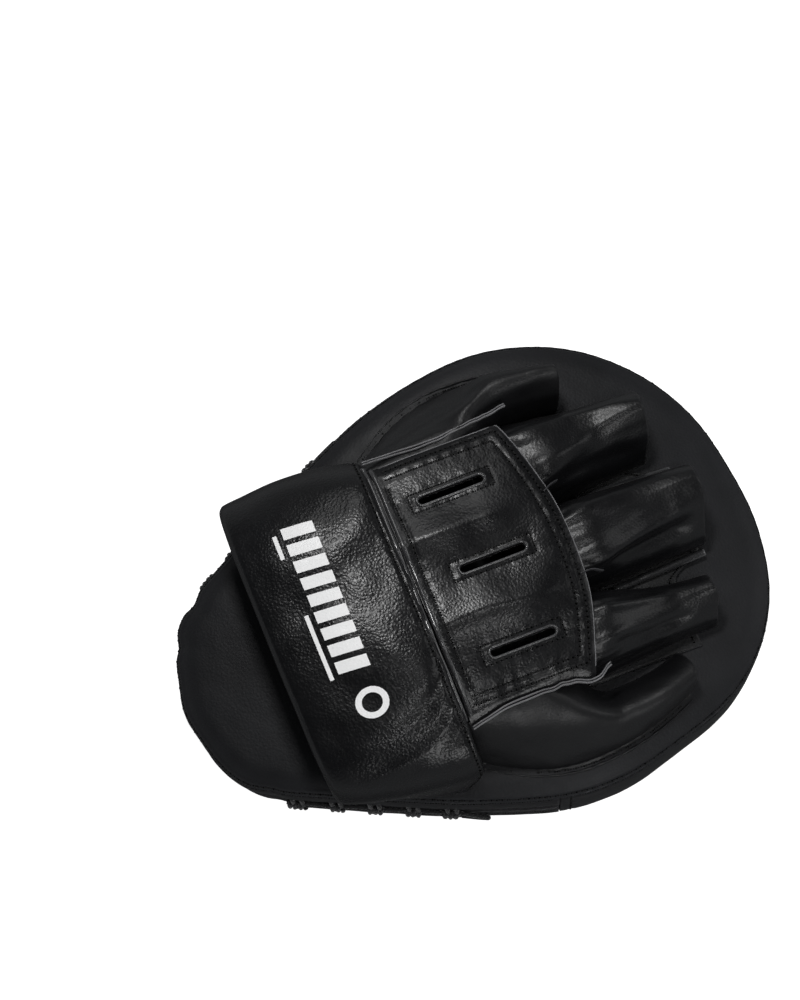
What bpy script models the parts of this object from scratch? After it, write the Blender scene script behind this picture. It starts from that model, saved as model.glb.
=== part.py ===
"""Curved focus mitt for boxing and martial arts, built from its separate pieces.

The mitt lies on its striking face. +X runs from the wrist to the fingertips, +Y is one
side of the hand and +Z runs from the striking face to the hand. Both sides are alike, so
the mitt fits either hand. Every piece is laid out on a flat pad, and bend() then curves
it with the pad round an axis along Y, below the striking face.
"""

import math

import bmesh
import bpy
from mathutils import Vector

# Pad, in metres
PAD_LENGTH = 0.264
PAD_HALF_WIDTH = 0.0970
EGG_SKEW = 0.0196
EGG_SWELL = (0.0410, 0.0152, -0.0056)
SIDE_HEIGHT = 0.038
FACE_CROWN = 0.0093
BACK_CROWN = 0.004
BEND_RADIUS = 0.600
REST_FLATTENING = 0.001
FACE_FACET_SCALE = 0.22
RING_POINTS = 52

# Sheet thicknesses and the gap kept between neighbours
LEATHER = 0.0014
SOFT_LEATHER = 0.0016
LINING = 0.0008
GAP = 0.0004

# Hand cover, x along the pad and heights above the pad's back
COVER_START_X = -0.022
COVER_HALF_WIDTH = 0.063
COVER_HEIGHT_WRIST = 0.041
COVER_HEIGHT_KNUCKLE = 0.036
COVER_DROP = 0.008
KNUCKLE_X = 0.0445
KNUCKLE_CURVE = 0.011
PANEL_THICKNESS = 0.0022
TUCK = 0.006

# Vents through the panel on the back of the hand
VENT_X = 0.0075
VENT_PITCH = 0.036
VENT_LENGTH = 0.028
VENT_WIDTH = 0.0036
VENT_BORDER_LENGTH = 0.037
VENT_BORDER_WIDTH = 0.013

# Finger sleeves: y and half width at the root and at the open end
SLEEVE_ROOT_Y = 0.042
SLEEVE_END_Y = 0.0395
SLEEVE_ROOT_HALF = 0.0198
CENTRE_SLEEVE_END_HALF = 0.0175
OUTER_SLEEVE_END_HALF = 0.0135
CENTRE_SLEEVE_END_X = 0.1025
OUTER_SLEEVE_END_X = 0.0935
CENTRE_SLEEVE_END_HEIGHT = 0.0280
OUTER_SLEEVE_END_HEIGHT = 0.0245
SIDE_SLEEVE_END_X = 0.0735
SIDE_SLEEVE_HEIGHT = 0.021

# Line along which the side panels are sewn to the pad's back
HEM_HALF_WIDTH = 0.0875
HEM_WIDEST_X = 0.022

# Cuff over the wrist
CUFF_FREE_X = -0.0835
CUFF_SEAM_X = -0.0235
CUFF_FOOT_SLANT = 0.007
CUFF_HALF_FREE = 0.0675
CUFF_FOOT_HALF_FREE = 0.0600
CUFF_HALF_SEAM = 0.081
CUFF_HEIGHT = 0.045
CUFF_SQUARENESS = 3.6
CUFF_FOAM = 0.0055
CUFF_GAP = 0.0010

# Laces along both sides of the wrist half
LACE_RADIUS = 0.0015
LACE_START_X = -0.106
LACE_END_X = -0.026
KNOT_COUNT = 5
KNOT_SWELL = 1.7
GUSSET_JOIN_X = 0.003

LEATHER_BLACK = ("leather_black", (0.022, 0.022, 0.024), 0.42)
GLOSS_BLACK = ("gloss_black", (0.017, 0.017, 0.019), 0.24)
FOAM_GREY = ("foam_grey", (0.16, 0.16, 0.17), 0.95)
FOAM_SOFT = ("foam_soft", (0.42, 0.42, 0.40), 0.95)
FABRIC_BLACK = ("fabric_black", (0.020, 0.020, 0.022), 0.90)
CORD_BLACK = ("cord_black", (0.014, 0.014, 0.016), 0.80)

BACK = SIDE_HEIGHT + BACK_CROWN
HALF_LENGTH = PAD_LENGTH / 2
FULL_TURN = 2 * math.pi


def clear_scene():
    for obj in list(bpy.data.objects):
        bpy.data.objects.remove(obj, do_unlink=True)


def new_collection(name):
    collection = bpy.data.collections.new(name)
    bpy.context.scene.collection.children.link(collection)
    return collection


def material(name, colour, roughness):
    mat = bpy.data.materials.get(name) or bpy.data.materials.new(name)
    mat.use_nodes = True
    shader = mat.node_tree.nodes["Principled BSDF"]
    shader.inputs["Base Color"].default_value = (*colour, 1.0)
    shader.inputs["Roughness"].default_value = roughness
    shader.inputs["Metallic"].default_value = 0.0
    return mat


def lerp(a, b, t):
    return a + (b - a) * t


def smoothstep(low, high, x):
    t = min(max((x - low) / (high - low), 0.0), 1.0)
    return t * t * (3 - 2 * t)


def egg(t):
    """A point of the pad's outline, wider towards the fingers and blunt at the wrist."""
    x = HALF_LENGTH * math.cos(t) + EGG_SKEW * (math.cos(2 * t) - 1)
    swell = sum(size * math.cos(k * t) for k, size in enumerate(EGG_SWELL, 1))
    return Vector((x, (PAD_HALF_WIDTH + swell) * math.sin(t)))


def outline(t, inset=0.0, scale=1.0):
    """The outline moved in by inset along its own normal, then scaled."""
    step = 1e-4
    along = (egg(t + step) - egg(t - step)).normalized()
    outward = Vector((along.y, -along.x))
    return (egg(t) - outward * inset) * scale


def outline_angle(x):
    """The angle at which the +Y half of the outline has this x, found by halving."""
    low, high = 0.0, math.pi
    for _ in range(40):
        middle = (low + high) / 2
        if egg(middle).x > x:
            low = middle
        else:
            high = middle
    return low


def bend_flat(x, y, z):
    angle = x / BEND_RADIUS
    radius = BEND_RADIUS + z - SIDE_HEIGHT
    return Vector((radius * math.sin(angle), y, radius * math.cos(angle) - BEND_RADIUS + SIDE_HEIGHT))


def bend(x, y, z):
    """Curves a point of the flat pad, and lifts it so that the mitt stands on z = 0."""
    point = bend_flat(x, y, z)
    point.z += LIFT
    return point


# The striking face's rings: inset, scale and height below the sidewall's seam
FACE_RINGS = [
    (0.0040, 1.00, 0.0000),
    (0.0047, 1.00, -0.0026),
    (0.0085, 1.00, -0.0052),
    (0.0160, 1.00, -0.0068),
    (0.0160, 0.80, -0.0080),
    (0.0160, 0.52, -0.0090),
    (0.0160, FACE_FACET_SCALE, -FACE_CROWN),
]
LOWEST = min(
    bend_flat(*outline(t, inset, scale), height).z
    for inset, scale, height in FACE_RINGS
    for t in (0.0, math.pi)
)
LIFT = -LOWEST - REST_FLATTENING


def finish_object(collection, name, mesh, look):
    mesh.materials.append(material(*look))
    mesh.shade_smooth()
    mesh.set_sharp_from_angle(angle=math.radians(40))
    obj = bpy.data.objects.new(name, mesh)
    collection.objects.link(obj)
    return obj


def add_thickness(obj, thickness):
    """Gives an open surface its thickness on the side away from its normals."""
    solidify = obj.modifiers.new("thickness", "SOLIDIFY")
    solidify.thickness = thickness
    solidify.offset = -1.0
    solidify.use_even_offset = True
    return solidify


def loft(rings, cap_first, cap_last):
    """A mesh through closed rings of points, with the outward side on the right hand of
    the way from the first ring to the last when the rings run anticlockwise from above
    and the last ring lies above the first."""
    bm = bmesh.new()
    loops = [[bm.verts.new(p) for p in ring] for ring in rings]
    for low, high in zip(loops, loops[1:]):
        for i in range(len(low)):
            j = (i + 1) % len(low)
            bm.faces.new((low[i], low[j], high[j], high[i]))
    if cap_first:
        bm.faces.new(reversed(loops[0]))
    if cap_last:
        bm.faces.new(loops[-1])
    mesh = bpy.data.meshes.new("loft")
    bm.to_mesh(mesh)
    bm.free()
    return mesh


def pad_ring(inset, scale, height):
    """One closed ring of the pad, bent, and never below the surface it rests on."""
    ring = []
    for i in range(RING_POINTS):
        flat = outline(FULL_TURN * i / RING_POINTS, inset, scale)
        point = bend(flat.x, flat.y, height)
        point.z = max(point.z, 0.0)
        ring.append(point)
    return ring


def patch(collection, name, look, columns, rows, surface, thickness):
    """A sheet: a grid whose points move to surface(u, v), u and v from 0 to 1."""
    bm = bmesh.new()
    bmesh.ops.create_grid(bm, x_segments=columns, y_segments=rows, size=0.5)
    for vert in bm.verts:
        vert.co = surface(vert.co.x + 0.5, vert.co.y + 0.5)
    mesh = bpy.data.meshes.new(name)
    bm.to_mesh(mesh)
    bm.free()
    obj = finish_object(collection, name, mesh, look)
    add_thickness(obj, thickness)
    return obj


def face_cover(collection):
    rings = [pad_ring(*ring) for ring in reversed(FACE_RINGS)]
    level = sum(point.z for point in rings[0]) / RING_POINTS
    for point in rings[0]:
        point.z = level
    mesh = loft(rings, True, False)
    obj = finish_object(collection, "face_cover", mesh, LEATHER_BLACK)
    add_thickness(obj, LEATHER)


def back_panel(collection):
    profile = [
        (0.0010, 1.00, SIDE_HEIGHT),
        (0.0030, 1.00, SIDE_HEIGHT + 0.55 * BACK_CROWN),
        (0.0075, 1.00, SIDE_HEIGHT + 0.90 * BACK_CROWN),
        (0.0120, 1.00, BACK),
        (0.0120, 0.70, BACK),
        (0.0120, 0.40, BACK),
        (0.0120, 0.15, BACK),
    ]
    mesh = loft([pad_ring(*ring) for ring in profile], False, True)
    obj = finish_object(collection, "back_panel", mesh, LEATHER_BLACK)
    add_thickness(obj, LEATHER)


def foam_layer(collection, name, profile, look):
    mesh = loft([pad_ring(*ring) for ring in profile], True, True)
    finish_object(collection, name, mesh, look)


def foam_layers(collection):
    edge = 0.0030
    impact_top, core_top = 0.0130, 0.0260
    foam_layer(
        collection,
        "impact_foam",
        [
            (0.0160, FACE_FACET_SCALE, -FACE_CROWN + 0.0022),
            (0.0160, 0.52, -0.0068),
            (0.0170, 0.80, -0.0058),
            (0.0180, 1.00, -0.0044),
            (0.0110, 1.00, -0.0026),
            (0.0076, 1.00, 0.0010),
            (edge + 0.0020, 1.00, impact_top),
            (0.0160, 0.52, impact_top),
            (0.0160, FACE_FACET_SCALE, impact_top),
        ],
        FOAM_GREY,
    )
    low = impact_top + GAP
    foam_layer(
        collection,
        "core_foam",
        [
            (0.0160, FACE_FACET_SCALE, low),
            (0.0160, 0.60, low),
            (edge, 1.00, low),
            (edge, 1.00, core_top),
            (0.0160, 0.60, core_top),
            (0.0160, FACE_FACET_SCALE, core_top),
        ],
        FOAM_GREY,
    )
    low, high = core_top + GAP, BACK - LEATHER - GAP
    foam_layer(
        collection,
        "comfort_foam",
        [
            (0.0160, FACE_FACET_SCALE, low),
            (0.0160, 0.60, low),
            (edge, 1.00, low),
            (0.0062, 1.00, SIDE_HEIGHT - LEATHER),
            (0.0140, 1.00, high),
            (0.0160, 0.60, high),
            (0.0160, FACE_FACET_SCALE, high),
        ],
        FOAM_SOFT,
    )


def gusset_inset(height):
    """How far the sidewall stands inside the widest outline at this height."""
    lean = max(0.0, 1 - height / 0.016)
    tuck = max(0.0, (height - 0.030) / (SIDE_HEIGHT - 0.030))
    return 0.0040 * lean ** 1.6 + 0.0010 * tuck * tuck


def gusset(collection, name, first_angle, last_angle, low, high, columns, rows):
    def surface(u, v):
        height = lerp(low, high, v)
        flat = outline(lerp(first_angle, last_angle, u), gusset_inset(height))
        return bend(flat.x, flat.y, height)

    patch(collection, name, LEATHER_BLACK, columns, rows, surface, LEATHER)


def gussets(collection):
    """The sidewall: one strip round the fingers, and two laced strips round the wrist."""
    join = outline_angle(GUSSET_JOIN_X)
    joint_gap = GAP / PAD_HALF_WIDTH
    slit = SIDE_HEIGHT * 0.55
    low, high = LEATHER, SIDE_HEIGHT - LEATHER - GAP
    gusset(collection, "gusset_finger_end", -join + joint_gap, join - joint_gap, low, high, 32, 4)
    for name, bottom, top in (
        ("gusset_wrist_lower", low, slit - GAP),
        ("gusset_wrist_upper", slit + GAP, high),
    ):
        gusset(collection, name, join + joint_gap, FULL_TURN - join - joint_gap, bottom, top, 34, 2)


def lace(collection, side):
    """A cord drawn along the slit of the sidewall, swelling where it is hitched."""
    points_per_knot = 8
    count = (KNOT_COUNT - 1) * points_per_knot + 1 + 4
    curve = bpy.data.curves.new("lace", "CURVE")
    curve.dimensions = "3D"
    curve.bevel_depth = LACE_RADIUS
    curve.bevel_resolution = 2
    curve.use_fill_caps = True
    spline = curve.splines.new("POLY")
    spline.points.add(count - 1)
    for i in range(count):
        step = (i - 2) / points_per_knot
        x = lerp(LACE_START_X, LACE_END_X, step / (KNOT_COUNT - 1))
        knot = max(0.0, math.cos(FULL_TURN * step)) ** 4
        swell = 1 + (KNOT_SWELL - 1) * knot
        clearance = LACE_RADIUS * swell * 1.05 + GAP
        flat = outline(outline_angle(x), -clearance)
        point = bend(flat.x, side * flat.y, SIDE_HEIGHT * 0.55)
        spline.points[i].co = (*point, 1.0)
        spline.points[i].radius = swell
    obj = bpy.data.objects.new("lace_cord", curve)
    collection.objects.link(obj)
    graph = bpy.context.evaluated_depsgraph_get()
    mesh = bpy.data.meshes.new_from_object(obj.evaluated_get(graph))
    bpy.data.objects.remove(obj, do_unlink=True)
    bm = bmesh.new()
    bm.from_mesh(mesh)
    bmesh.ops.remove_doubles(bm, verts=bm.verts, dist=0.00005)
    bm.to_mesh(mesh)
    bm.free()
    mesh.materials.clear()
    finish_object(collection, "lace_left" if side > 0 else "lace_right", mesh, CORD_BLACK)


def knuckle_x(y):
    """The curved edge of the hand cover along the knuckles."""
    return KNUCKLE_X - KNUCKLE_CURVE * (y / COVER_HALF_WIDTH) ** 2


def cover_height(x, y):
    """The hand cover's outer surface, above the pad's back."""
    along = (x - COVER_START_X) / (KNUCKLE_X - COVER_START_X)
    top = lerp(COVER_HEIGHT_WRIST, COVER_HEIGHT_KNUCKLE, along)
    return top - COVER_DROP * (y / COVER_HALF_WIDTH) ** 2


def cover_surface(half_width, start_x, end_inset, drop):
    def surface(u, v):
        y = lerp(-half_width, half_width, v)
        x = lerp(start_x, knuckle_x(y) - end_inset, u)
        return bend(x, y, BACK + cover_height(x, y) - drop)

    return surface


def cut(obj, cutter):
    boolean = obj.modifiers.new("vent", "BOOLEAN")
    boolean.operation = "DIFFERENCE"
    boolean.solver = "EXACT"
    boolean.object = cutter


def vent_cutters(collection):
    cutters = []
    for number in (-1, 0, 1):
        y = number * VENT_PITCH
        mesh = bpy.data.meshes.new("vent_cutter")
        bm = bmesh.new()
        bmesh.ops.create_cube(bm, size=1.0)
        bmesh.ops.scale(bm, vec=(VENT_LENGTH, VENT_WIDTH, 0.030), verts=bm.verts)
        bm.to_mesh(mesh)
        bm.free()
        cutter = bpy.data.objects.new(f"vent_cutter_{number + 2}", mesh)
        cutter.location = bend(VENT_X, y, BACK + cover_height(VENT_X, y))
        cutter.hide_render = True
        cutter.display_type = "WIRE"
        collection.objects.link(cutter)
        cutters.append(cutter)
    return cutters


def hand_back(collection, cutters):
    """The panel over the back of the hand, its lining and the bindings of its vents."""
    panel = patch(
        collection,
        "hand_back_panel",
        GLOSS_BLACK,
        10,
        16,
        cover_surface(COVER_HALF_WIDTH, COVER_START_X, 0.0, 0.0),
        PANEL_THICKNESS,
    )
    lining = patch(
        collection,
        "hand_back_lining",
        FABRIC_BLACK,
        8,
        12,
        cover_surface(
            COVER_HALF_WIDTH - 0.012,
            COVER_START_X + 0.002,
            0.010,
            PANEL_THICKNESS + GAP,
        ),
        LINING,
    )
    for cutter in cutters:
        cut(panel, cutter)
        cut(lining, cutter)
    for cutter, side, number in zip(cutters, ("right", "centre", "left"), (-1, 0, 1)):
        vent_binding(collection, f"vent_binding_{side}", number * VENT_PITCH, cutter)


def vent_binding(collection, name, y_centre, cutter):
    def surface(u, v):
        x = VENT_X + (u - 0.5) * VENT_BORDER_LENGTH
        y = y_centre + (v - 0.5) * VENT_BORDER_WIDTH
        return bend(x, y, BACK + cover_height(x, y) + GAP + LINING)

    binding = patch(collection, name, GLOSS_BLACK, 4, 3, surface, LINING)
    cut(binding, cutter)


def arch(half_width, height, squareness, angle):
    """y and z of an arch from its +Y foot at angle 0 over its top to its other foot."""
    power = 2 / squareness
    c, s = math.cos(angle), max(math.sin(angle), 0.0)
    return half_width * math.copysign(abs(c) ** power, c), height * s ** power


def finger_sleeve(collection, name, side):
    """An open arch over one finger, from under the knuckle edge to its loose end."""
    end_x = OUTER_SLEEVE_END_X if side else CENTRE_SLEEVE_END_X
    end_half = OUTER_SLEEVE_END_HALF if side else CENTRE_SLEEVE_END_HALF
    end_height = OUTER_SLEEVE_END_HEIGHT if side else CENTRE_SLEEVE_END_HEIGHT
    foot = BACK + GAP + LEATHER + GAP

    def surface(u, v):
        half = lerp(SLEEVE_ROOT_HALF, end_half, u)
        centre = side * lerp(SLEEVE_ROOT_Y, SLEEVE_END_Y, u)
        under = cover_height(KNUCKLE_X, SLEEVE_ROOT_Y * side) - PANEL_THICKNESS - 0.0022
        height = lerp(under, end_height, smoothstep(0.0, 1.0, u))
        y, z = arch(half, height, lerp(2.8, 2.2, u), math.pi * (1 - v))
        root = knuckle_x(abs(centre) + half * 0.6) - TUCK
        return bend(lerp(root, end_x, u), centre + y, foot + z)

    patch(collection, name, GLOSS_BLACK, 7, 14, surface, SOFT_LEATHER)


def hem_y(x):
    """Where the side panels are sewn to the pad's back, widest beside the knuckles."""
    curve = 8.5 if x < HEM_WIDEST_X else 4.2
    return HEM_HALF_WIDTH - curve * (x - HEM_WIDEST_X) ** 2


def side_panel(collection, name, side):
    """The leather between the hand cover and the pad, which ends as an outer sleeve."""
    start_x = COVER_START_X
    inner_y = COVER_HALF_WIDTH - TUCK

    def surface(u, v):
        x = lerp(start_x, SIDE_SLEEVE_END_X, u)
        sleeve = smoothstep(0.014, 0.033, x)
        outer = hem_y(x)
        sleeve_half = lerp(0.0108, 0.0085, smoothstep(0.033, SIDE_SLEEVE_END_X, x))
        half = lerp(outer - inner_y, sleeve_half, sleeve)
        under = cover_height(x, inner_y) - PANEL_THICKNESS - 0.0016
        height = lerp(under, SIDE_SLEEVE_HEIGHT, sleeve)
        angle = lerp(math.pi / 2, math.pi, sleeve) * (v if side < 0 else 1 - v)
        y, z = arch(half, height, 2.3, angle)
        return bend(x, side * (outer - half + y), BACK + GAP + z)

    patch(collection, name, LEATHER_BLACK, 16, 12, surface, SOFT_LEATHER)


def sleeve_base(collection):
    """The flat leather under the three middle sleeves, sewn to the pad's back."""

    def surface(u, v):
        y = lerp(-0.057, 0.057, v)
        front = 0.0975 - 0.014 * smoothstep(0.016, 0.027, abs(y))
        return bend(lerp(0.020, front, u), y, BACK + GAP + LEATHER)

    patch(collection, "sleeve_base", LEATHER_BLACK, 8, 20, surface, LEATHER)


def sleeve_seam_strip(collection, name, side):
    """The raised strip that holds down one edge of the middle sleeve."""

    def surface(u, v):
        x = lerp(0.070, 0.0955, u)
        y = side * 0.0208 + (v - 0.5) * 0.0030
        return bend(x, y, BACK + 2 * (GAP + LEATHER))

    patch(collection, name, LEATHER_BLACK, 6, 1, surface, LEATHER)


def palm_grip(collection):
    """The padded roll that the palm and fingers close on, flat where it is sewn down."""
    mesh = bpy.data.meshes.new("palm_grip")
    bm = bmesh.new()
    bmesh.ops.create_uvsphere(bm, u_segments=20, v_segments=10, radius=1.0)
    for vert in bm.verts:
        x, y, z = vert.co
        vert.co = bend(-0.002 + 0.016 * x, 0.034 * y, BACK + GAP + 0.015 * max(z, 0.0))
    bm.to_mesh(mesh)
    bm.free()
    finish_object(collection, "palm_grip", mesh, LEATHER_BLACK)


def rolled_edge(collection, name, points, radius):
    """A thin rolled edge: a cord through these points, closed at both ends."""
    curve = bpy.data.curves.new(name, "CURVE")
    curve.dimensions = "3D"
    curve.bevel_depth = radius
    curve.bevel_resolution = 2
    curve.use_fill_caps = True
    spline = curve.splines.new("POLY")
    spline.points.add(len(points) - 1)
    for target, point in zip(spline.points, points):
        target.co = (*point, 1.0)
    curve.materials.append(material(*GLOSS_BLACK))
    collection.objects.link(bpy.data.objects.new(name, curve))


def edge_pipings(collection):
    radius = 0.0011
    lift = radius * 1.08 + GAP
    steps = 10
    for name, side in (("side_piping_left", 1), ("side_piping_right", -1)):
        y = side * (COVER_HALF_WIDTH - radius)
        points = []
        for i in range(steps + 1):
            x = lerp(COVER_START_X + 0.003, knuckle_x(y) - 0.001, i / steps)
            points.append(bend(x, y, BACK + cover_height(x, y) + lift))
        rolled_edge(collection, name, points, radius)
    points = []
    half = COVER_HALF_WIDTH - 0.004
    x = COVER_START_X + radius
    for i in range(2 * steps + 1):
        y = lerp(-half, half, i / (2 * steps))
        points.append(bend(x, y, BACK + cover_height(x, y) + lift))
    rolled_edge(collection, "cuff_seam_piping", points, radius)


def cuff_point(along, angle, inset):
    """A point of the arched band, whose feet turn in to the pad's rim."""
    half = lerp(CUFF_HALF_FREE, CUFF_HALF_SEAM, along) - inset
    height = CUFF_HEIGHT - inset
    y, z = arch(half, height, CUFF_SQUARENESS, angle)
    rise = smoothstep(0.0, 0.55, z / height)
    foot_share = lerp(CUFF_FOOT_HALF_FREE / CUFF_HALF_FREE, 1.0, along)
    x = lerp(CUFF_FREE_X, CUFF_SEAM_X, along) - CUFF_FOOT_SLANT * along * (1 - rise)
    return bend(x, y * lerp(foot_share, 1.0, rise), BACK + GAP + z)


def cuff_layer(collection, name, look, outer_inset, inner_inset, edge):
    """One layer of the band: sections made of an outer and an inner arch."""
    stations, steps = 5, 24
    angles = [math.pi * i / steps for i in range(steps + 1)]
    sections = []
    for station in range(stations + 1):
        along = min(max(station / stations, edge), 1 - edge)
        outer = [cuff_point(along, angle, outer_inset) for angle in angles]
        inner = [cuff_point(along, angle, inner_inset) for angle in reversed(angles)]
        sections.append(outer + inner)
    finish_object(collection, name, loft(sections, True, True), look)


def cuff(collection):
    """The padded band over the wrist: outer leather, foam and lining."""
    foam_start = LEATHER + CUFF_GAP
    lining_start = foam_start + CUFF_FOAM + CUFF_GAP
    cuff_layer(collection, "cuff_shell", GLOSS_BLACK, 0.0, LEATHER, 0.0)
    cuff_layer(collection, "cuff_foam", FOAM_SOFT, foam_start, foam_start + CUFF_FOAM, 0.025)
    cuff_layer(collection, "cuff_lining", FABRIC_BLACK, lining_start, lining_start + LINING, 0.0)


def main():
    clear_scene()
    mitt = new_collection("focus_mitt")
    cutters = vent_cutters(new_collection("cutters"))
    face_cover(mitt)
    back_panel(mitt)
    foam_layers(mitt)
    gussets(mitt)
    lace(mitt, 1)
    lace(mitt, -1)
    hand_back(mitt, cutters)
    finger_sleeve(mitt, "finger_sleeve_left", 1)
    finger_sleeve(mitt, "finger_sleeve_centre", 0)
    finger_sleeve(mitt, "finger_sleeve_right", -1)
    side_panel(mitt, "side_panel_left", 1)
    side_panel(mitt, "side_panel_right", -1)
    sleeve_base(mitt)
    sleeve_seam_strip(mitt, "sleeve_seam_strip_left", 1)
    sleeve_seam_strip(mitt, "sleeve_seam_strip_right", -1)
    palm_grip(mitt)
    edge_pipings(mitt)
    cuff(mitt)


main()
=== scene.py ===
"""The look of the focus mitt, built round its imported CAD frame.

Leather and cloth are sheets over two parameters on the flat pad, curved by bend() as the
CAD is, with seams, puckers and folds raised along their normals. Stitches, laces and raw
edges are small solid shapes laid along lines on those sheets. Lengths are in metres.
"""

import math

import bpy
import numpy as np
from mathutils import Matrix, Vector


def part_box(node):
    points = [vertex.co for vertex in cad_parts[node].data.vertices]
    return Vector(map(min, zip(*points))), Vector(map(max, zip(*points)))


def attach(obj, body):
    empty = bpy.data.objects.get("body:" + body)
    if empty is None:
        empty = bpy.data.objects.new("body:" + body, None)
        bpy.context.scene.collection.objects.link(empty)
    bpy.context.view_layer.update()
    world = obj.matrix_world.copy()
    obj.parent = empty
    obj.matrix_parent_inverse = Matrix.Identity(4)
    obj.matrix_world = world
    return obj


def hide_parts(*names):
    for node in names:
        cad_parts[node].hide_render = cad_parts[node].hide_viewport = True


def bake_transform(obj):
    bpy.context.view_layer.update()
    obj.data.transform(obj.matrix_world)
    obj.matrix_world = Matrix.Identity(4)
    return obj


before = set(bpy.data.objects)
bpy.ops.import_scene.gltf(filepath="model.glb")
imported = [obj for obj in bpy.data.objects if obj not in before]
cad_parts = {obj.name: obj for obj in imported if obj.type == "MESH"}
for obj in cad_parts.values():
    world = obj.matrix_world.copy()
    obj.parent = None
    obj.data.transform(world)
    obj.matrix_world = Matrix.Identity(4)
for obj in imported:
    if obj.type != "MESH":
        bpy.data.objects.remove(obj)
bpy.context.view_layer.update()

# ------------------------------------------------------------ dimensions of the frame
PAD_LENGTH = 0.264
PAD_HALF_WIDTH = 0.0970
EGG_SKEW = 0.0196
EGG_SWELL = (0.0410, 0.0152, -0.0056)
SIDE_HEIGHT = 0.038
FACE_CROWN = 0.0093
BACK_CROWN = 0.004
BEND_RADIUS = 0.600
COVER_START_X = -0.022
COVER_HALF_WIDTH = 0.063
COVER_HEIGHT_WRIST = 0.041
COVER_HEIGHT_KNUCKLE = 0.036
COVER_DROP = 0.008
KNUCKLE_X = 0.0445
KNUCKLE_CURVE = 0.011
VENT_LENGTH = 0.028
VENT_WIDTH = 0.0036
HEM_HALF_WIDTH = 0.0875
HEM_WIDEST_X = 0.022
CUFF_FREE_X = -0.0835
CUFF_SEAM_X = -0.0235
CUFF_FOOT_SLANT = 0.007
CUFF_HALF_FREE = 0.0675
CUFF_FOOT_HALF_FREE = 0.0600
CUFF_HALF_SEAM = 0.081
CUFF_HIGH_HALF_FREE = 0.0740
CUFF_HIGH_HALF_SEAM = 0.0705
CUFF_HEIGHT = 0.045
CUFF_SQUARENESS = 4.0
SLIT_HEIGHT = SIDE_HEIGHT * 0.55
GUSSET_JOIN_X = 0.003
BACK = SIDE_HEIGHT + BACK_CROWN
HALF_LENGTH = PAD_LENGTH / 2
FULL_TURN = 2 * math.pi

# The curved pad stands on its ends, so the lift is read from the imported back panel
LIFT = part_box("back_panel")[1].z - BACK

MILLIMETRE = 0.001

# Spacing of stitches and of the points of a seam, and the puckers beside a seam
STITCH = 0.0023
LINE_STEP = 0.0008
SEAM_REACH = 0.012
PUCKER_PITCH = 0.0068
PUCKER_WIDTH = 0.0036

# Thickness of each kind of sheet
CLOTH = 0.0006
CUFF_SKIN = 0.0010
FINE_LEATHER = 0.0012
THIN_LEATHER = 0.0014
STOUT_LEATHER = 0.0020


# ------------------------------------------------------------------------- arithmetic
def lerp(a, b, t):
    return a + (b - a) * t


def smoothstep(low, high, x):
    t = np.clip((x - low) / (high - low), 0.0, 1.0)
    return t * t * (3 - 2 * t)


def bump(x, centre, width):
    return np.exp(-(((x - centre) / width) ** 2))


def noise(points, size, seed=0):
    """Smooth gradient noise, about -1 to 1, whose features are about this size."""
    p = points / size + seed * 17.31
    base = np.floor(p).astype(np.int64)
    f = p - base
    ease = f ** 3 * (f * (f * 6 - 15) + 10)
    total = np.zeros(p.shape[:-1])
    for corner in range(8):
        offset = np.array([corner & 1, corner >> 1 & 1, corner >> 2 & 1])
        q = base + offset
        h = q[..., 0] * 73856093 ^ q[..., 1] * 19349663 ^ q[..., 2] * 83492791
        h = (h ^ h >> 13) * 1274126177 & 0x7FFFFFFF
        turn = (h & 1023) * (FULL_TURN / 1024)
        tilt = (h >> 10 & 1023) / 511.5 - 1
        flat = np.sqrt(1 - tilt * tilt)
        slope = np.stack([np.cos(turn) * flat, np.sin(turn) * flat, tilt], -1)
        total += np.where(offset, ease, 1 - ease).prod(-1) * ((f - offset) * slope).sum(-1)
    return 1.9 * total


def unit(vectors):
    length = np.linalg.norm(vectors, axis=-1, keepdims=True)
    return vectors / np.maximum(length, 1e-12)


def run_along(points):
    """How far along the line through these points each of them lies."""
    return np.concatenate([[0], np.cumsum(np.linalg.norm(np.diff(points, axis=0), axis=1))])


def wander(seed, *place):
    """Noise over three coordinates that are already in units of its features."""
    return noise(np.stack(np.broadcast_arrays(*place), -1), 1.0, seed)


def rounded_profile(points, count):
    """A smooth line through these points (Catmull-Rom), sampled evenly by index."""
    p = np.array(points, float)
    p = np.vstack([2 * p[0] - p[1], p, 2 * p[-1] - p[-2]])
    s = np.linspace(0, len(points) - 1 - 1e-9, count)
    i = s.astype(int)
    t = (s - i)[:, None]
    a, b, c, d = p[i], p[i + 1], p[i + 2], p[i + 3]
    square, cube = 2 * a - 5 * b + 4 * c - d, 3 * b - a - 3 * c + d
    return 0.5 * (2 * b + (c - a) * t + square * t ** 2 + cube * t ** 3)


def on_profile(profile, share):
    """Each column of a profile, at this share of the way along it."""
    place = np.clip(share, 0, 1) * (len(profile) - 1)
    return [np.interp(place, np.arange(len(profile)), column) for column in profile.T]


def grid_faces(rows, columns, join_rows=False, join_columns=False, turned=False):
    """Faces of a grid of points numbered row by row. turned ones face the other way."""
    faces = []
    for i in range(rows if join_rows else rows - 1):
        j = (i + 1) % rows
        for k in range(columns if join_columns else columns - 1):
            m = (k + 1) % columns
            a, b, c, d = i * columns + k, j * columns + k, j * columns + m, i * columns + m
            faces.append((a, d, c, b) if turned else (a, b, c, d))
    return faces


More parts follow.
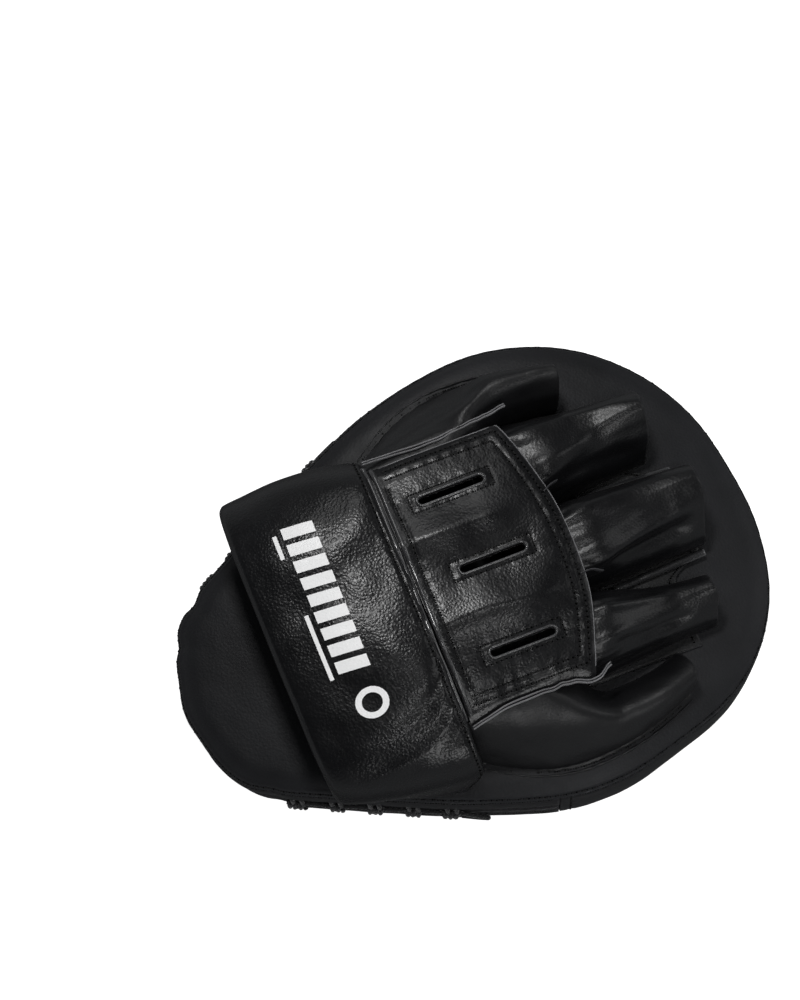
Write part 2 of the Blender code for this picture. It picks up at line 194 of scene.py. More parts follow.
# ---------------------------------------------------------------------- the flat pad
def egg(t):
    swell = sum(size * np.cos(k * t) for k, size in enumerate(EGG_SWELL, 1))
    x = HALF_LENGTH * np.cos(t) + EGG_SKEW * (np.cos(2 * t) - 1)
    return np.stack([x, (PAD_HALF_WIDTH + swell) * np.sin(t)], -1)


def fullness(t):
    """How far the hand-cut outline stands out from the even egg, by its angle."""
    places = ((0.10, 0.16, -1.8), (-0.38, 0.22, 2.4), (-0.88, 0.20, -3.8), (math.pi, 0.16, 2.2))
    turn = [np.mod(t - place + math.pi, FULL_TURN) - math.pi for place, _, _ in places]
    return sum(size * bump(gap, 0, width) for gap, (_, width, size) in zip(turn, places)) * MILLIMETRE


def outline(t, inset, scale=1.0):
    along = unit(egg(t + 1e-4) - egg(t - 1e-4))
    outward = np.stack([along[..., 1], -along[..., 0]], -1)
    return (egg(t) - outward * (inset - fullness(t))[..., None]) * np.asarray(scale)[..., None]


def outline_angle(x):
    """The angle at which the +Y half of the outline has this x."""
    t = np.linspace(0, math.pi, 2001)
    return np.interp(-np.asarray(x), -egg(t)[:, 0], t)


def bend(x, y, z):
    angle = x / BEND_RADIUS
    radius = BEND_RADIUS + z - SIDE_HEIGHT
    height = radius * np.cos(angle) - BEND_RADIUS + SIDE_HEIGHT + LIFT
    x, y, height = np.broadcast_arrays(radius * np.sin(angle), y, height)
    return np.stack([x, y, height], -1)


def rim_pull(t):
    """How far the rim is drawn in, by the laces at the wrist and unevenly elsewhere."""
    t = np.mod(t, FULL_TURN)
    pinches = sum(depth * bump(t, outline_angle(x), 0.07) for x, depth in ((-0.113, 1.6), (-0.127, 1.3)))
    pinches = pinches + 0.8 * bump(t, FULL_TURN - outline_angle(-0.112), 0.08)
    circle = np.stack([np.cos(t), np.sin(t), np.zeros_like(t)], -1)
    return (pinches + 0.35 * noise(circle, 0.24, 3)) * MILLIMETRE


def knuckle_x(y):
    """Where the panel's rounded front edge is, at this distance from the middle."""
    short = 0.0025 * smoothstep(0.020, 0.055, -np.asarray(y, float))
    return KNUCKLE_X - KNUCKLE_CURVE * (y / COVER_HALF_WIDTH) ** 2 - short


def cover_height(x, y):
    along = (x - COVER_START_X) / (KNUCKLE_X - COVER_START_X)
    top = lerp(COVER_HEIGHT_WRIST, COVER_HEIGHT_KNUCKLE, along)
    return top - COVER_DROP * (y / COVER_HALF_WIDTH) ** 2


def arch(half_width, height, squareness, angle):
    power = 2 / squareness
    c, s = np.cos(angle), np.maximum(np.sin(angle), 0.0)
    return half_width * np.sign(c) * np.abs(c) ** power, height * s ** power


# --------------------------------------------------------------------------- sheets
class Sheet:
    """A surface over u and v from 0 to 1, with seams, ridges and noise raised on it.

    seams holds (points, depth, width, pucker): a groove along a line of points, and
    how far the leather puckers beside it.
    """

    def __init__(self, base, detail=None, flip=False):
        self.base = base
        self.detail = detail
        self.sign = -1.0 if flip else 1.0
        self.seams = []

    def normal(self, u, v):
        e = 2e-4
        along_u = self.base(u + e, v) - self.base(u - e, v)
        along_v = self.base(u, v + e) - self.base(u, v - e)
        return self.sign * unit(np.cross(along_u, along_v))

    def line(self, path):
        """Evenly spaced u, v and base points along a path of (u, v) corners."""
        path = np.array(path, float)
        dense = []
        for a, b in zip(path, path[1:]):
            t = np.linspace(0, 1, 120, endpoint=False)[:, None]
            dense.append(a + (b - a) * t)
        dense = np.vstack(dense + [path[-1:]])
        points = self.base(dense[:, 0], dense[:, 1])
        run = run_along(points)
        count = max(int(run[-1] / LINE_STEP), 2)
        at = np.linspace(0, run[-1], count)
        u, v = np.interp(at, run, dense[:, 0]), np.interp(at, run, dense[:, 1])
        return u, v, self.base(u, v)

    def add_seam(self, path, depth, width, pucker):
        points = self.line(path)[2]
        self.seams.append((points, depth * MILLIMETRE, width * MILLIMETRE, pucker * MILLIMETRE))

    def raised(self, u, v, points):
        height = np.zeros(len(points))
        if self.detail is not None:
            height = height + self.detail(u, v, points)
        for line, depth, width, pucker in self.seams:
            low, high = line.min(0) - SEAM_REACH, line.max(0) + SEAM_REACH
            near = np.all((points > low) & (points < high), axis=1).nonzero()[0]
            for part in np.array_split(near, max(1, len(near) // 1500)):
                if not len(part):
                    continue
                gap = np.linalg.norm(points[part, None, :] - line[None, ::2, :], axis=2)
                nearest = gap.argmin(1)
                gap = gap.min(1)
                run = nearest * 2 * LINE_STEP
                wave = np.sin(run * FULL_TURN / PUCKER_PITCH + 3 * noise(points[part], 0.02, 5))
                height[part] -= depth * np.exp(-((gap / width) ** 2))
                height[part] += 0.4 * pucker * wave * np.exp(-((gap / PUCKER_WIDTH) ** 2))
        return height

    def at(self, u, v, lift=0.0):
        u, v = np.broadcast_arrays(np.asarray(u, float), np.asarray(v, float))
        u, v = u.ravel(), v.ravel()
        points = self.base(u, v)
        return points + self.normal(u, v) * (self.raised(u, v, points) + lift)[:, None]

    def mesh(self, columns, rows, closed=False, lift=0.0, span=((0, 1), (0, 1))):
        """Vertices and faces of a grid. closed joins the last column to the first."""
        us = np.linspace(*span[0], columns + 1)[: columns if closed else None]
        vs = np.linspace(*span[1], rows + 1)
        u, v = np.meshgrid(us, vs, indexing="ij")
        points = self.at(u, v, lift)
        faces = grid_faces(*u.shape, closed)
        return points, faces if self.sign > 0 else [face[::-1] for face in faces]


def new_object(name, points, faces, materials, smooth=True, face_materials=None):
    mesh = bpy.data.meshes.new(name)
    mesh.from_pydata([tuple(p) for p in points], [], [tuple(f) for f in faces])
    for look in materials if isinstance(materials, (list, tuple)) else [materials]:
        mesh.materials.append(look)
    if face_materials is not None:
        mesh.polygons.foreach_set("material_index", np.asarray(face_materials, np.int32))
    if smooth:
        mesh.shade_smooth()
    mesh.update()
    obj = bpy.data.objects.new(name, mesh)
    bpy.context.scene.collection.objects.link(obj)
    return obj


def apply_modifiers(obj):
    graph = bpy.context.evaluated_depsgraph_get()
    mesh = bpy.data.meshes.new_from_object(obj.evaluated_get(graph))
    obj.modifiers.clear()
    obj.data = mesh
    return obj


def sheet_object(name, sheet, columns, rows, look, thickness=0.0, edge=None, closed=False, **options):
    """A piece of leather or cloth: the sheet's grid, with a thickness and its cut edge."""
    points, faces = sheet.mesh(columns, rows, closed, **options)
    obj = new_object(name, points, faces, [look, edge or look])
    if thickness:
        solidify = obj.modifiers.new("thickness", "SOLIDIFY")
        solidify.thickness = thickness
        solidify.offset = -1.0
        solidify.material_offset_rim = 1
        apply_modifiers(obj)
    return obj


def tube(points, radius, sides=8, closed=False, flatten=1.0):
    """Vertices and faces of a round or flattened tube along points."""
    p = np.asarray(points, float)
    n = len(p)
    radius = np.broadcast_to(np.asarray(radius, float), (n,))
    if closed:
        tangent = unit(np.roll(p, -1, 0) - np.roll(p, 1, 0))
    else:
        tangent = unit(np.gradient(p, axis=0))
    side = np.zeros_like(p)
    start = np.cross(tangent[0], (0.0, 0.0, 1.0))
    for i in range(n):
        start = unit(start - tangent[i] * (start @ tangent[i]))
        side[i] = start
    up = np.cross(side, tangent)
    turn = FULL_TURN * np.arange(sides) / sides
    ring = side[:, None] * np.cos(turn)[None, :, None] + up[:, None] * np.sin(turn)[None, :, None] * flatten
    vertices = (p[:, None] + ring * radius[:, None, None]).reshape(-1, 3)
    faces = grid_faces(n, sides, closed, True, turned=True)
    if not closed:
        faces.append(tuple(range(sides - 1, -1, -1)))
        faces.append(tuple((n - 1) * sides + k for k in range(sides)))
    return vertices, faces


class Bundle:
    """Many small shapes gathered into one object."""

    def __init__(self):
        self.points, self.faces, self.kinds, self.count = [], [], [], 0

    def add(self, points, faces, kind=0):
        self.points.append(np.asarray(points))
        self.faces += [tuple(i + self.count for i in face) for face in faces]
        self.kinds += [kind] * len(faces)
        self.count += len(points)

    def object(self, name, materials):
        return new_object(name, np.vstack(self.points), self.faces, materials, face_materials=self.kinds)


def capsule(length, radius, sides=6):
    """A stitch along X: a short bar that dives at both ends."""
    rings = [(-0.5, 0.35), (-0.38, 0.85), (-0.12, 1.0), (0.12, 1.0), (0.38, 0.85), (0.5, 0.35)]
    turn = FULL_TURN * np.arange(sides) / sides
    points = []
    for along, share in rings:
        sink = -0.9 * radius * (abs(along) * 2) ** 4
        for angle in turn:
            y, z = radius * share * math.cos(angle), radius * share * math.sin(angle) + sink
            points.append((along * length, y, z))
    faces = grid_faces(len(rings), sides, False, True)
    faces.append(tuple(range(sides)))
    faces.append(tuple((len(rings) - 1) * sides + k for k in range(sides - 1, -1, -1)))
    return np.array(points), faces


STITCH_SHAPE = capsule(STITCH * 0.64, 0.00050)
HOLE_SHAPE = capsule(STITCH * 0.36, 0.00056)


def stitch(bundle, sheet, path, pitch=STITCH, lift=0.05):
    """A row of stitches along a path on a sheet, with a needle hole between each two, drawn as a sunk black
    blob: painted shade for the dark inside of the hole.
    """
    u, v, points = sheet.line(path)
    run = run_along(points)
    count = int(run[-1] / pitch)
    if count < 1:
        return
    for shape, kind, shift, height in ((STITCH_SHAPE, 0, 0.5, lift), (HOLE_SHAPE, 1, 0.0, lift - 0.22)):
        middles = (np.arange(count) + shift) * run[-1] / count
        mu, mv = np.interp(middles, run, u), np.interp(middles, run, v)
        centres = sheet.at(mu, mv, height * MILLIMETRE)
        normals = sheet.normal(mu, mv)
        ahead = np.stack([np.interp(middles + 5e-4, run, points[:, k]) for k in range(3)], -1)
        behind = np.stack([np.interp(middles - 5e-4, run, points[:, k]) for k in range(3)], -1)
        along = unit(ahead - behind)
        across = unit(np.cross(normals, along))
        for centre, x, y, z in zip(centres, along, across, np.cross(along, across)):
            bundle.add(centre + shape[0] @ np.array([x, y, z]), shape[1], kind)


def sew(bundle, sheet, path, depth, width, pucker, lift=0.05):
    """A seam along a path, with its stitches."""
    sheet.add_seam(path, depth, width, pucker)
    stitch(bundle, sheet, path, lift=lift)


# ------------------------------------------------------------------------- materials
def put(node, **values):
    """Sets a shader node's inputs, named with _ for a space."""
    for name, value in values.items():
        node.inputs[name.replace("_", " ")].default_value = value


class Look:
    """One procedural material."""

    def __init__(self, name):
        self.material = bpy.data.materials.new(name)
        self.material.use_nodes = True
        self.tree = self.material.node_tree
        self.shader = self.tree.nodes["Principled BSDF"]
        self.place = self.add("ShaderNodeTexCoord").outputs["Object"]
        self.normal = None

    def add(self, kind, **values):
        node = self.tree.nodes.new(kind)
        for name, value in values.items():
            setattr(node, name, value)
        return node

    def link(self, source, target):
        self.tree.links.new(source, target)

    def fixed(self, **values):
        put(self.shader, **values)

    def noise(self, size, detail=3.0, roughness=0.55, stretch=(1, 1, 1)):
        """Noise from 0 to 1 whose features are about this size."""
        mapping = self.add("ShaderNodeMapping")
        put(mapping, Scale=stretch)
        self.link(self.place, mapping.inputs["Vector"])
        node = self.add("ShaderNodeTexNoise")
        put(node, Scale=1 / size, Detail=detail, Roughness=roughness)
        self.link(mapping.outputs["Vector"], node.inputs["Vector"])
        return node.outputs["Fac"]

    def cells(self, size):
        """Distance from the middle of the nearest of many uneven cells of this size."""
        node = self.add("ShaderNodeTexVoronoi", feature="F1")
        put(node, Scale=1 / size)
        warp = self.add("ShaderNodeVectorMath", operation="MULTIPLY_ADD")
        jitter = self.add("ShaderNodeTexNoise")
        put(jitter, Scale=0.6 / size)
        self.link(self.place, jitter.inputs["Vector"])
        self.link(jitter.outputs["Color"], warp.inputs[0])
        warp.inputs[1].default_value = (size, size, size)
        self.link(self.place, warp.inputs[2])
        self.link(warp.outputs["Vector"], node.inputs["Vector"])
        return node.outputs["Distance"]

    def ramp(self, value, low, high, stops=(0.3, 0.7)):
        node = self.add("ShaderNodeMapRange")
        put(node, From_Min=stops[0], From_Max=stops[1], To_Min=low, To_Max=high)
        self.link(value, node.inputs["Value"])
        return node.outputs["Result"]

    def times(self, a, b):
        node = self.add("ShaderNodeMath", operation="MULTIPLY")
        self.link(a, node.inputs[0])
        self.link(b, node.inputs[1])
        return node.outputs["Value"]

    def mix(self, factor, a, b):
        node = self.add("ShaderNodeMix", data_type="RGBA")
        self.link(factor, node.inputs["Factor"])
        for socket, colour in ((node.inputs[6], a), (node.inputs[7], b)):
            if isinstance(colour, tuple):
                socket.default_value = (*colour, 1.0)
            else:
                self.link(colour, socket)
        return node.outputs[2]

    def bumped(self, height, distance, strength=1.0):
        node = self.add("ShaderNodeBump")
        put(node, Strength=strength, Distance=distance)
        self.link(height, node.inputs["Height"])
        if self.normal is not None:
            self.link(self.normal, node.inputs["Normal"])
        self.normal = node.outputs["Normal"]

    def paint(self, colour):
        self.link(colour, self.shader.inputs["Base Color"])

    def rough(self, value):
        self.link(value, self.shader.inputs["Roughness"])

    def done(self):
        if self.normal is not None:
            self.link(self.normal, self.shader.inputs["Normal"])
        return self.material


def shade(colour, share):
    return tuple(c * share for c in colour)


def leather(name, colour, gloss, grain, grain_depth, dull=0.04, coat=0.0, wear=0.5, ior=1.37):
    """Coated leather: a pebbled grain, broad unevenness, rubbed spots and paler edges."""
    look = Look(name)
    broad = look.noise(0.030, 2.0)
    cloudy = look.noise(0.008, 4.0)
    rubbed = look.noise(0.0022, 3.0)
    body = look.mix(look.ramp(broad, 0.0, 1.0), shade(colour, 0.78), shade(colour, 1.25))
    edge = look.add("ShaderNodeNewGeometry").outputs["Pointiness"]
    worn = look.times(look.ramp(edge, 0.0, wear, (0.53, 0.62)), look.ramp(rubbed, 0.3, 1.0))
    worn_colour = tuple(min(1.0, c * 2.6 + 0.02) for c in colour)
    look.paint(look.mix(worn, body, worn_colour))
    look.rough(look.ramp(cloudy, gloss - dull, gloss + dull, (0.25, 0.75)))
    look.fixed(IOR=ior, Coat_Weight=coat, Coat_Roughness=0.22, Sheen_Weight=0.01, Sheen_Roughness=0.5)
    look.bumped(broad, 0.0004, 0.4)
    look.bumped(cloudy, 0.00005, 0.5)
    pebbles = look.ramp(look.cells(grain), 1.0, 0.0, (0.0, 0.75))
    look.bumped(pebbles, grain_depth, 1.0)
    return look.done()


def woven(name, colour, pitch):
    """Plain cloth: crossing threads with a little fuzz."""
    look = Look(name)
    heights = []
    for direction in ("X", "DIAGONAL"):
        wave = look.add("ShaderNodeTexWave", wave_type="BANDS", bands_direction=direction)
        put(wave, Scale=1 / (pitch * 6.3), Distortion=0.6)
        look.link(look.place, wave.inputs["Vector"])
        heights.append(wave.outputs["Fac"])
    weave = look.times(*heights)
    fuzz = look.noise(0.0007, 4.0)
    look.paint(look.mix(look.ramp(weave, 0.0, 1.0, (0.1, 0.6)), shade(colour, 0.5), colour))
    look.rough(look.ramp(fuzz, 0.75, 0.98))
    look.fixed(Sheen_Weight=0.25, Sheen_Roughness=0.4)
    look.bumped(weave, 0.0004)
    look.bumped(fuzz, 0.0002, 0.6)
    return look.done()


def thread(name, colour, gloss, twist, fuzz=0.3):
    """Thread or braided cord: slanting strands, from the noise of stretched fibres."""
    look = Look(name)
    strands = look.noise(twist, 2.0, stretch=(1.0, 2.6, 1.6))
    fibres = look.noise(twist * 0.35, 3.0)
    look.paint(look.mix(look.ramp(strands, 0.0, 1.0), shade(colour, 0.5), shade(colour, 1.7)))
    look.rough(look.ramp(fibres, gloss - 0.12, gloss + 0.12))
    look.fixed(Sheen_Weight=fuzz, Sheen_Roughness=0.35, Specular_IOR_Level=0.3)
    look.bumped(strands, twist * 0.6)
    look.bumped(fibres, twist * 0.25, 0.7)
    return look.done()


def ink(name, colour):
    """A printed mark with the leather's grain under it and fine wear."""
    look = Look(name)
    specks = look.noise(0.0011, 4.0)
    look.paint(look.mix(look.ramp(specks, 0.0, 0.5, (0.62, 0.78)), colour, shade(colour, 0.55)))
    look.rough(look.ramp(look.noise(0.004), 0.42, 0.62))
    look.bumped(look.cells(0.0011), 0.00010, 0.8)
    return look.done()


# Near-black and without reflection: painted shade that stands in for the dark inside of each needle hole.
def painted_hole_shade(name):
    look = Look(name)
    look.paint(look.mix(look.noise(0.001), (0.001, 0.001, 0.001), (0.003, 0.003, 0.003)))
    look.fixed(Roughness=1.0, Specular_IOR_Level=0.0)
    return look.done()


GRAIN = 0.0012
GLOSS_BLACK = (0.0034, 0.0035, 0.0041)
FACE_LEATHER = leather("face_leather", (0.0054, 0.0055, 0.0061), 0.40, GRAIN, 0.00006)
SIDE_LEATHER = leather("side_leather", (0.0057, 0.0058, 0.0066), 0.42, GRAIN, 0.00006)
BACK_LEATHER = leather("back_leather", (0.0084, 0.0087, 0.0102), 0.52, GRAIN, 0.00006, wear=0.2, ior=1.32)
COVER_LEATHER = leather("cover_leather", GLOSS_BLACK, 0.28, GRAIN, 0.000055, wear=0.8)
SLEEVE_LEATHER = leather("sleeve_leather", GLOSS_BLACK, 0.33, GRAIN, 0.000050, wear=0.6)
PANEL_LEATHER = leather("panel_leather", (0.0040, 0.0041, 0.0047), 0.42, GRAIN, 0.000050)
CUFF_LEATHER = leather("cuff_leather", GLOSS_BLACK, 0.28, GRAIN, 0.000085, wear=0.5)
CUT_EDGE = leather("cut_edge", (0.034, 0.034, 0.037), 0.40, 0.0005, 0.00006, wear=0.3)
# Raw edges: a grey cut-leather colour made much paler so they read as bright lines; partly real edge colour,
# partly painted highlight.
RAW_EDGE_AND_PAINTED_HIGHLIGHT = leather("raw_edge", (0.150, 0.150, 0.156), 0.32, 0.0005, 0.00004, wear=0.3)
# Rolled edges: turned from the same black leather but coloured several times paler so they stay bright where
# they lie in shade: painted highlight.
ROLLED_PAINTED_HIGHLIGHT = leather("rolled_edge", (0.0220, 0.0222, 0.0235), 0.22, 0.0008, 0.00003, coat=0.9, wear=1.0, ior=1.5)
LINING = woven("lining", (0.008, 0.008, 0.009), 0.0009)
THREAD = thread("thread", (0.0016, 0.0016, 0.0018), 0.70, 0.0006, fuzz=0.04)
CORD = thread("lace_cord", (0.0070, 0.0070, 0.0080), 0.55, 0.0014)
HOLE_SHADE = painted_hole_shade("needle_hole_painted_shade")
WHITE_INK = ink("white_ink", (0.93, 0.93, 0.93))
GREY_INK = ink("grey_ink", (0.13, 0.13, 0.14))

pad_stitches = Bundle()
cuff_stitches = Bundle()


# --------------------------------------------------------------------------- the pad
RIM_INSET = 0.0008


def back_inward(v):
    """How far inside the rim a row lies: rows are close together at the rim."""
    return 0.025 * np.clip(2 * v, 0, 1) ** 1.6


def back_base(u, v):
    t = u * FULL_TURN
    inward = back_inward(v)
    scale = np.interp(v, (0.0, 0.5, 1.0), (1.0, 1.0, 0.02))
    rise = 1 - (1 - np.clip(inward / 0.012, 0, 1)) ** 2.4
    tucked = 0.0012 * np.clip(1 - inward / 0.0016, 0, 1) ** 2
    flat = outline(t, RIM_INSET - 0.0002 + inward + rim_pull(t) * (1 - smoothstep(0.0, 0.02, inward)), scale)
    return bend(flat[:, 0], flat[:, 1], SIDE_HEIGHT + BACK_CROWN * rise - tucked)


def back_detail(u, v, points):
    inside = smoothstep(0.05, 0.45, v)
    wrist = smoothstep(-0.070, -0.112, points[:, 0])
    puffy = 0.9 * inside * wrist + 0.35 * inside
    rough = 0.70 * noise(points, 0.055, 1) + 0.25 * noise(points, 0.020, 2)
    bead = 0.30 * bump(back_inward(v), 0.0022, 0.0007)
    return (puffy + rough * inside + bead + 0.10 * noise(points, 0.009, 4) * inside) * MILLIMETRE


def ring_path(v):
    return [(0.0, v), (0.25, v), (0.5, v), (0.75, v), (1.0, v)]


back = Sheet(back_base, back_detail)
BACK_SEAM = 0.0626
sew(pad_stitches, back, ring_path(BACK_SEAM), 0.40, 0.7, 0.16)
pad_back = sheet_object("pad_back", back, 640, 62, BACK_LEATHER, closed=True)
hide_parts("back_panel", "comfort_foam")


def gusset_inset(height):
    lean = np.maximum(0.0, 1 - height / 0.014)
    return 0.0036 * lean ** 1.6 + RIM_INSET * smoothstep(0.010, SIDE_HEIGHT, height)


def gusset_sheet(first, last, low, high, edges):
    """A strip of sidewall from one outline angle to another, bulging between its seams."""

    def base(u, v):
        t = lerp(first, last, u)
        height = lerp(low, high, v)
        swell = 0.0012 * np.sin(np.pi * np.clip(v, 0, 1)) ** 0.8
        rolled = sum(0.0009 * bump(v, edge, 0.10) for edge in edges)
        flat = outline(t, gusset_inset(height) + rim_pull(t) - swell - rolled)
        return bend(flat[:, 0], flat[:, 1], height)

    def detail(u, v, points):
        return (0.35 * noise(points, 0.030, 6) + 0.12 * noise(points, 0.011, 7)) * MILLIMETRE

    return Sheet(base, detail)


JOIN = float(outline_angle(GUSSET_JOIN_X))
SEAM_LOW, SEAM_HIGH = 0.0012, SIDE_HEIGHT - 0.0006
SLIT_LOW, SLIT_HIGH = SLIT_HEIGHT - 0.0012, SLIT_HEIGHT + 0.0012
FIRST_ANGLE, LAST_ANGLE = JOIN + 0.002, FULL_TURN - JOIN - 0.002


def gusset_object(name, sheet, columns, rows, rows_of_stitches):
    for v in rows_of_stitches:
        sew(pad_stitches, sheet, [(0.004, v), (0.5, v), (0.996, v)], 0.45, 1.0, 0.14)
    obj = sheet_object(name, sheet, columns, rows, SIDE_LEATHER, FINE_LEATHER, CUT_EDGE)
    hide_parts(name.replace("sidewall", "gusset"))


finger_end = gusset_sheet(-JOIN + 0.002, JOIN - 0.002, SEAM_LOW, SEAM_HIGH, ())
for end in (0.012, 0.988):
    sew(pad_stitches, finger_end, [(end, 0.05), (end, 0.95)], 0.5, 1.0, 0.1)
gusset_object("sidewall_finger_end", finger_end, 360, 30, (0.055, 0.945))
wrist_lower = gusset_sheet(FIRST_ANGLE, LAST_ANGLE, SEAM_LOW, SLIT_LOW, (0.97,))
wrist_upper = gusset_sheet(FIRST_ANGLE, LAST_ANGLE, SLIT_HIGH, SEAM_HIGH, (0.03,))
gusset_object("sidewall_wrist_lower", wrist_lower, 360, 18, (0.10, 0.80))
gusset_object("sidewall_wrist_upper", wrist_upper, 360, 16, (0.22, 0.90))


def core_edge_base(u, v):
    """The dark filling behind the sidewall's slit, as a ring just inside the leather."""
    t = u * FULL_TURN
    flat = outline(t, 0.0062 + rim_pull(t))
    return bend(flat[:, 0], flat[:, 1], lerp(0.008, 0.032, v))


core_edge = Sheet(core_edge_base, lambda u, v, p: 0.2 * noise(p, 0.02, 44) * MILLIMETRE)
core_piece = sheet_object("core_edge", core_edge, 320, 10, LINING, closed=True)
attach(core_piece, "pad")
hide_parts("core_foam")

FACE_PROFILE = rounded_profile(
    [
        (0.0050, 1.00, 0.0012), (0.0044, 1.00, -0.0008), (0.0062, 1.00, -0.0036), (0.0105, 1.00, -0.0056),
        (0.0160, 1.00, -0.0068), (0.0160, 0.80, -0.0080), (0.0160, 0.52, -0.0090),
        (0.0160, 0.26, -FACE_CROWN), (0.0160, 0.02, -FACE_CROWN),
    ],
    200,
)
FACE_FLOOR = 0.0002
FACE_SEAM, FACE_ARC = 0.20, 0.37


def face_base(u, v):
    t = u * FULL_TURN
    inset, scale, height = on_profile(FACE_PROFILE, v)
    flat = outline(t, inset + rim_pull(t) * (1 - smoothstep(0.0, 0.5, v)), scale)
    points = bend(flat[:, 0], flat[:, 1], height)
    points[:, 2] = np.maximum(points[:, 2], FACE_FLOOR)
    return points


def face_detail(u, v, points):
    free = smoothstep(0.0, 0.004, points[:, 2])
    return free * (0.25 * noise(points, 0.045, 8) + 0.08 * noise(points, 0.015, 9)) * MILLIMETRE


face = Sheet(face_base, face_detail, flip=True)
sew(pad_stitches, face, ring_path(FACE_SEAM), 0.40, 1.1, 0.10)
wrist_arc = [(a / FULL_TURN, FACE_ARC) for a in np.linspace(JOIN * 1.15, FULL_TURN - JOIN * 1.15, 9)]
sew(pad_stitches, face, wrist_arc, 0.35, 1.1, 0.10)
pad_face = sheet_object("pad_face", face, 520, 90, FACE_LEATHER, closed=True)
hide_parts("face_cover", "impact_foam")


def face_print(name, radii, look, lift=0.0004):
    """A plain printed ring at the middle of the striking face."""
    turns = np.linspace(0, FULL_TURN, 121)[:-1]
    points = []
    rows = np.linspace(radii[0], radii[1], 5)
    for radius in rows:
        x, y = radius * np.cos(turns), radius * np.sin(turns)
        scale = np.interp(-(x ** 2 + y ** 2) ** 0.5, (-0.1, 0.0), (0.85, 0.02))
        height = -FACE_CROWN + 0.0013 * smoothstep(0.1, 0.9, scale) - lift
        points.append(bend(x, y, height))
    faces = grid_faces(len(rows), len(turns), False, True, turned=True)
    obj = new_object(name, np.vstack(points), faces, look)
    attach(obj, "pad")


# ------------------------------------------------------------------------- the laces
LACE_START_X, LACE_END_X, LACE_KNOTS = -0.1035, -0.0420, 5
KNOT_TURNS = 3.0
LACE_RADIUS, KNOT_RADIUS, HITCH_RADIUS = 0.00115, 0.00125, 0.00110


def lace(side):
    """A cord drawn through eyelets on both sides of the slit, hitched at each crossing."""
    bundle = Bundle()
    label = "left" if side > 0 else "right"
    first, last, knots = LACE_START_X, LACE_END_X, LACE_KNOTS

    def path(x, height, clear):
        t = outline_angle(x)
        flat = outline(t, gusset_inset(height) + rim_pull(t) - 0.75 * clear - 0.0008)
        return bend(flat[..., 0], side * flat[..., 1], height)

    x = np.linspace(first - 0.004, last + 0.004, 160)
    step = (x - first) / (last - first) * (knots - 1)
    near = np.clip(np.cos(FULL_TURN * step), 0, 1) ** 3
    for row, offset in ((0, 0.0026), (1, -0.0026)):
        height = SLIT_HEIGHT + offset * (1 - 0.75 * near) + 0.0006 * np.sin(step * 5 + row)
        clear = 0.0012 + 0.0014 * near
        bundle.add(*tube(path(x, height, clear), LACE_RADIUS, 8, flatten=0.8))
    for k in range(knots):
        centre = lerp(first, last, k / (knots - 1))
        s = np.linspace(0, 1, 120)
        around = s * KNOT_TURNS * FULL_TURN + k
        rx = centre + (s - 0.5) * 0.0062
        height = SLIT_HEIGHT + 0.0029 * np.sin(around)
        clear = 0.0018 + 0.0014 * np.cos(around)
        bundle.add(*tube(path(rx, height, clear), KNOT_RADIUS, 8, flatten=0.85))
        for shift in (-0.0017, 0.0019):
            rise = np.linspace(-1, 1, 40)
            rx = centre + shift + 0.0004 * np.sin(rise * 3)
            clear = 0.0024 * (1 - np.abs(rise) ** 2.6) - 0.0006
            bundle.add(*tube(path(rx, SLIT_HEIGHT + rise * 0.0072, clear), HITCH_RADIUS, 8, flatten=0.8))
    loop = np.linspace(0, 1, 60)
    rx = last + 0.004 + 0.011 * np.sin(loop * math.pi)
    height = SLIT_HEIGHT + 0.0026 - 0.0060 * loop - 0.003 * np.sin(loop * math.pi)
    bundle.add(*tube(path(rx, height, 0.0014 + 0.001 * np.sin(loop * math.pi)), LACE_RADIUS, 8, flatten=0.8))
    obj = bundle.object(f"lace_cord_{label}", [CORD])
    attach(obj, "pad")
    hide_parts(f"lace_{label}")


lace(1)
lace(-1)


# ------------------------------------------------------------------ the hand's panel
PANEL_LOW_Y, PANEL_HIGH_Y = -0.0540, 0.0602
PANEL_START_X = -0.0215
VENTS = ((0.0064, 0.0390, "left"), (0.0112, 0.0045, "centre"), (0.0098, -0.0335, "right"))

PATCH_LENGTH, PATCH_WIDTH = 0.0350, 0.0086
HIGH_SEAM = rounded_profile([(-0.0225, 0.0645), (0.0030, 0.0627), (0.0255, 0.0647), (0.0410, 0.0672)], 200)
LOW_SEAM = rounded_profile(
    [
        (-0.0215, -0.0597), (-0.0058, -0.0566), (0.0125, -0.0562),
        (0.0217, -0.0565), (0.0324, -0.0587), (0.0400, -0.0550),
    ],
    200,
)


def panel_low(u):
    """The hand-cut lower edge of the panel, which runs just inside its standing seam."""
    x = lerp(PANEL_START_X, knuckle_x(PANEL_LOW_Y), np.clip(u, 0, 1))
    return np.interp(x, LOW_SEAM[:, 0], LOW_SEAM[:, 1]) + 0.0008


def panel_base(u, v):
    y = lerp(panel_low(u), PANEL_HIGH_Y, v)
    x = lerp(PANEL_START_X, knuckle_x(y), u)
    return bend(x, y, BACK + cover_height(x, y))


def panel_uv(x, y):
    x, y = np.asarray(x, float), np.asarray(y, float)
    u = (x - PANEL_START_X) / (knuckle_x(y) - PANEL_START_X)
    return u, (y - panel_low(u)) / (PANEL_HIGH_Y - panel_low(u))


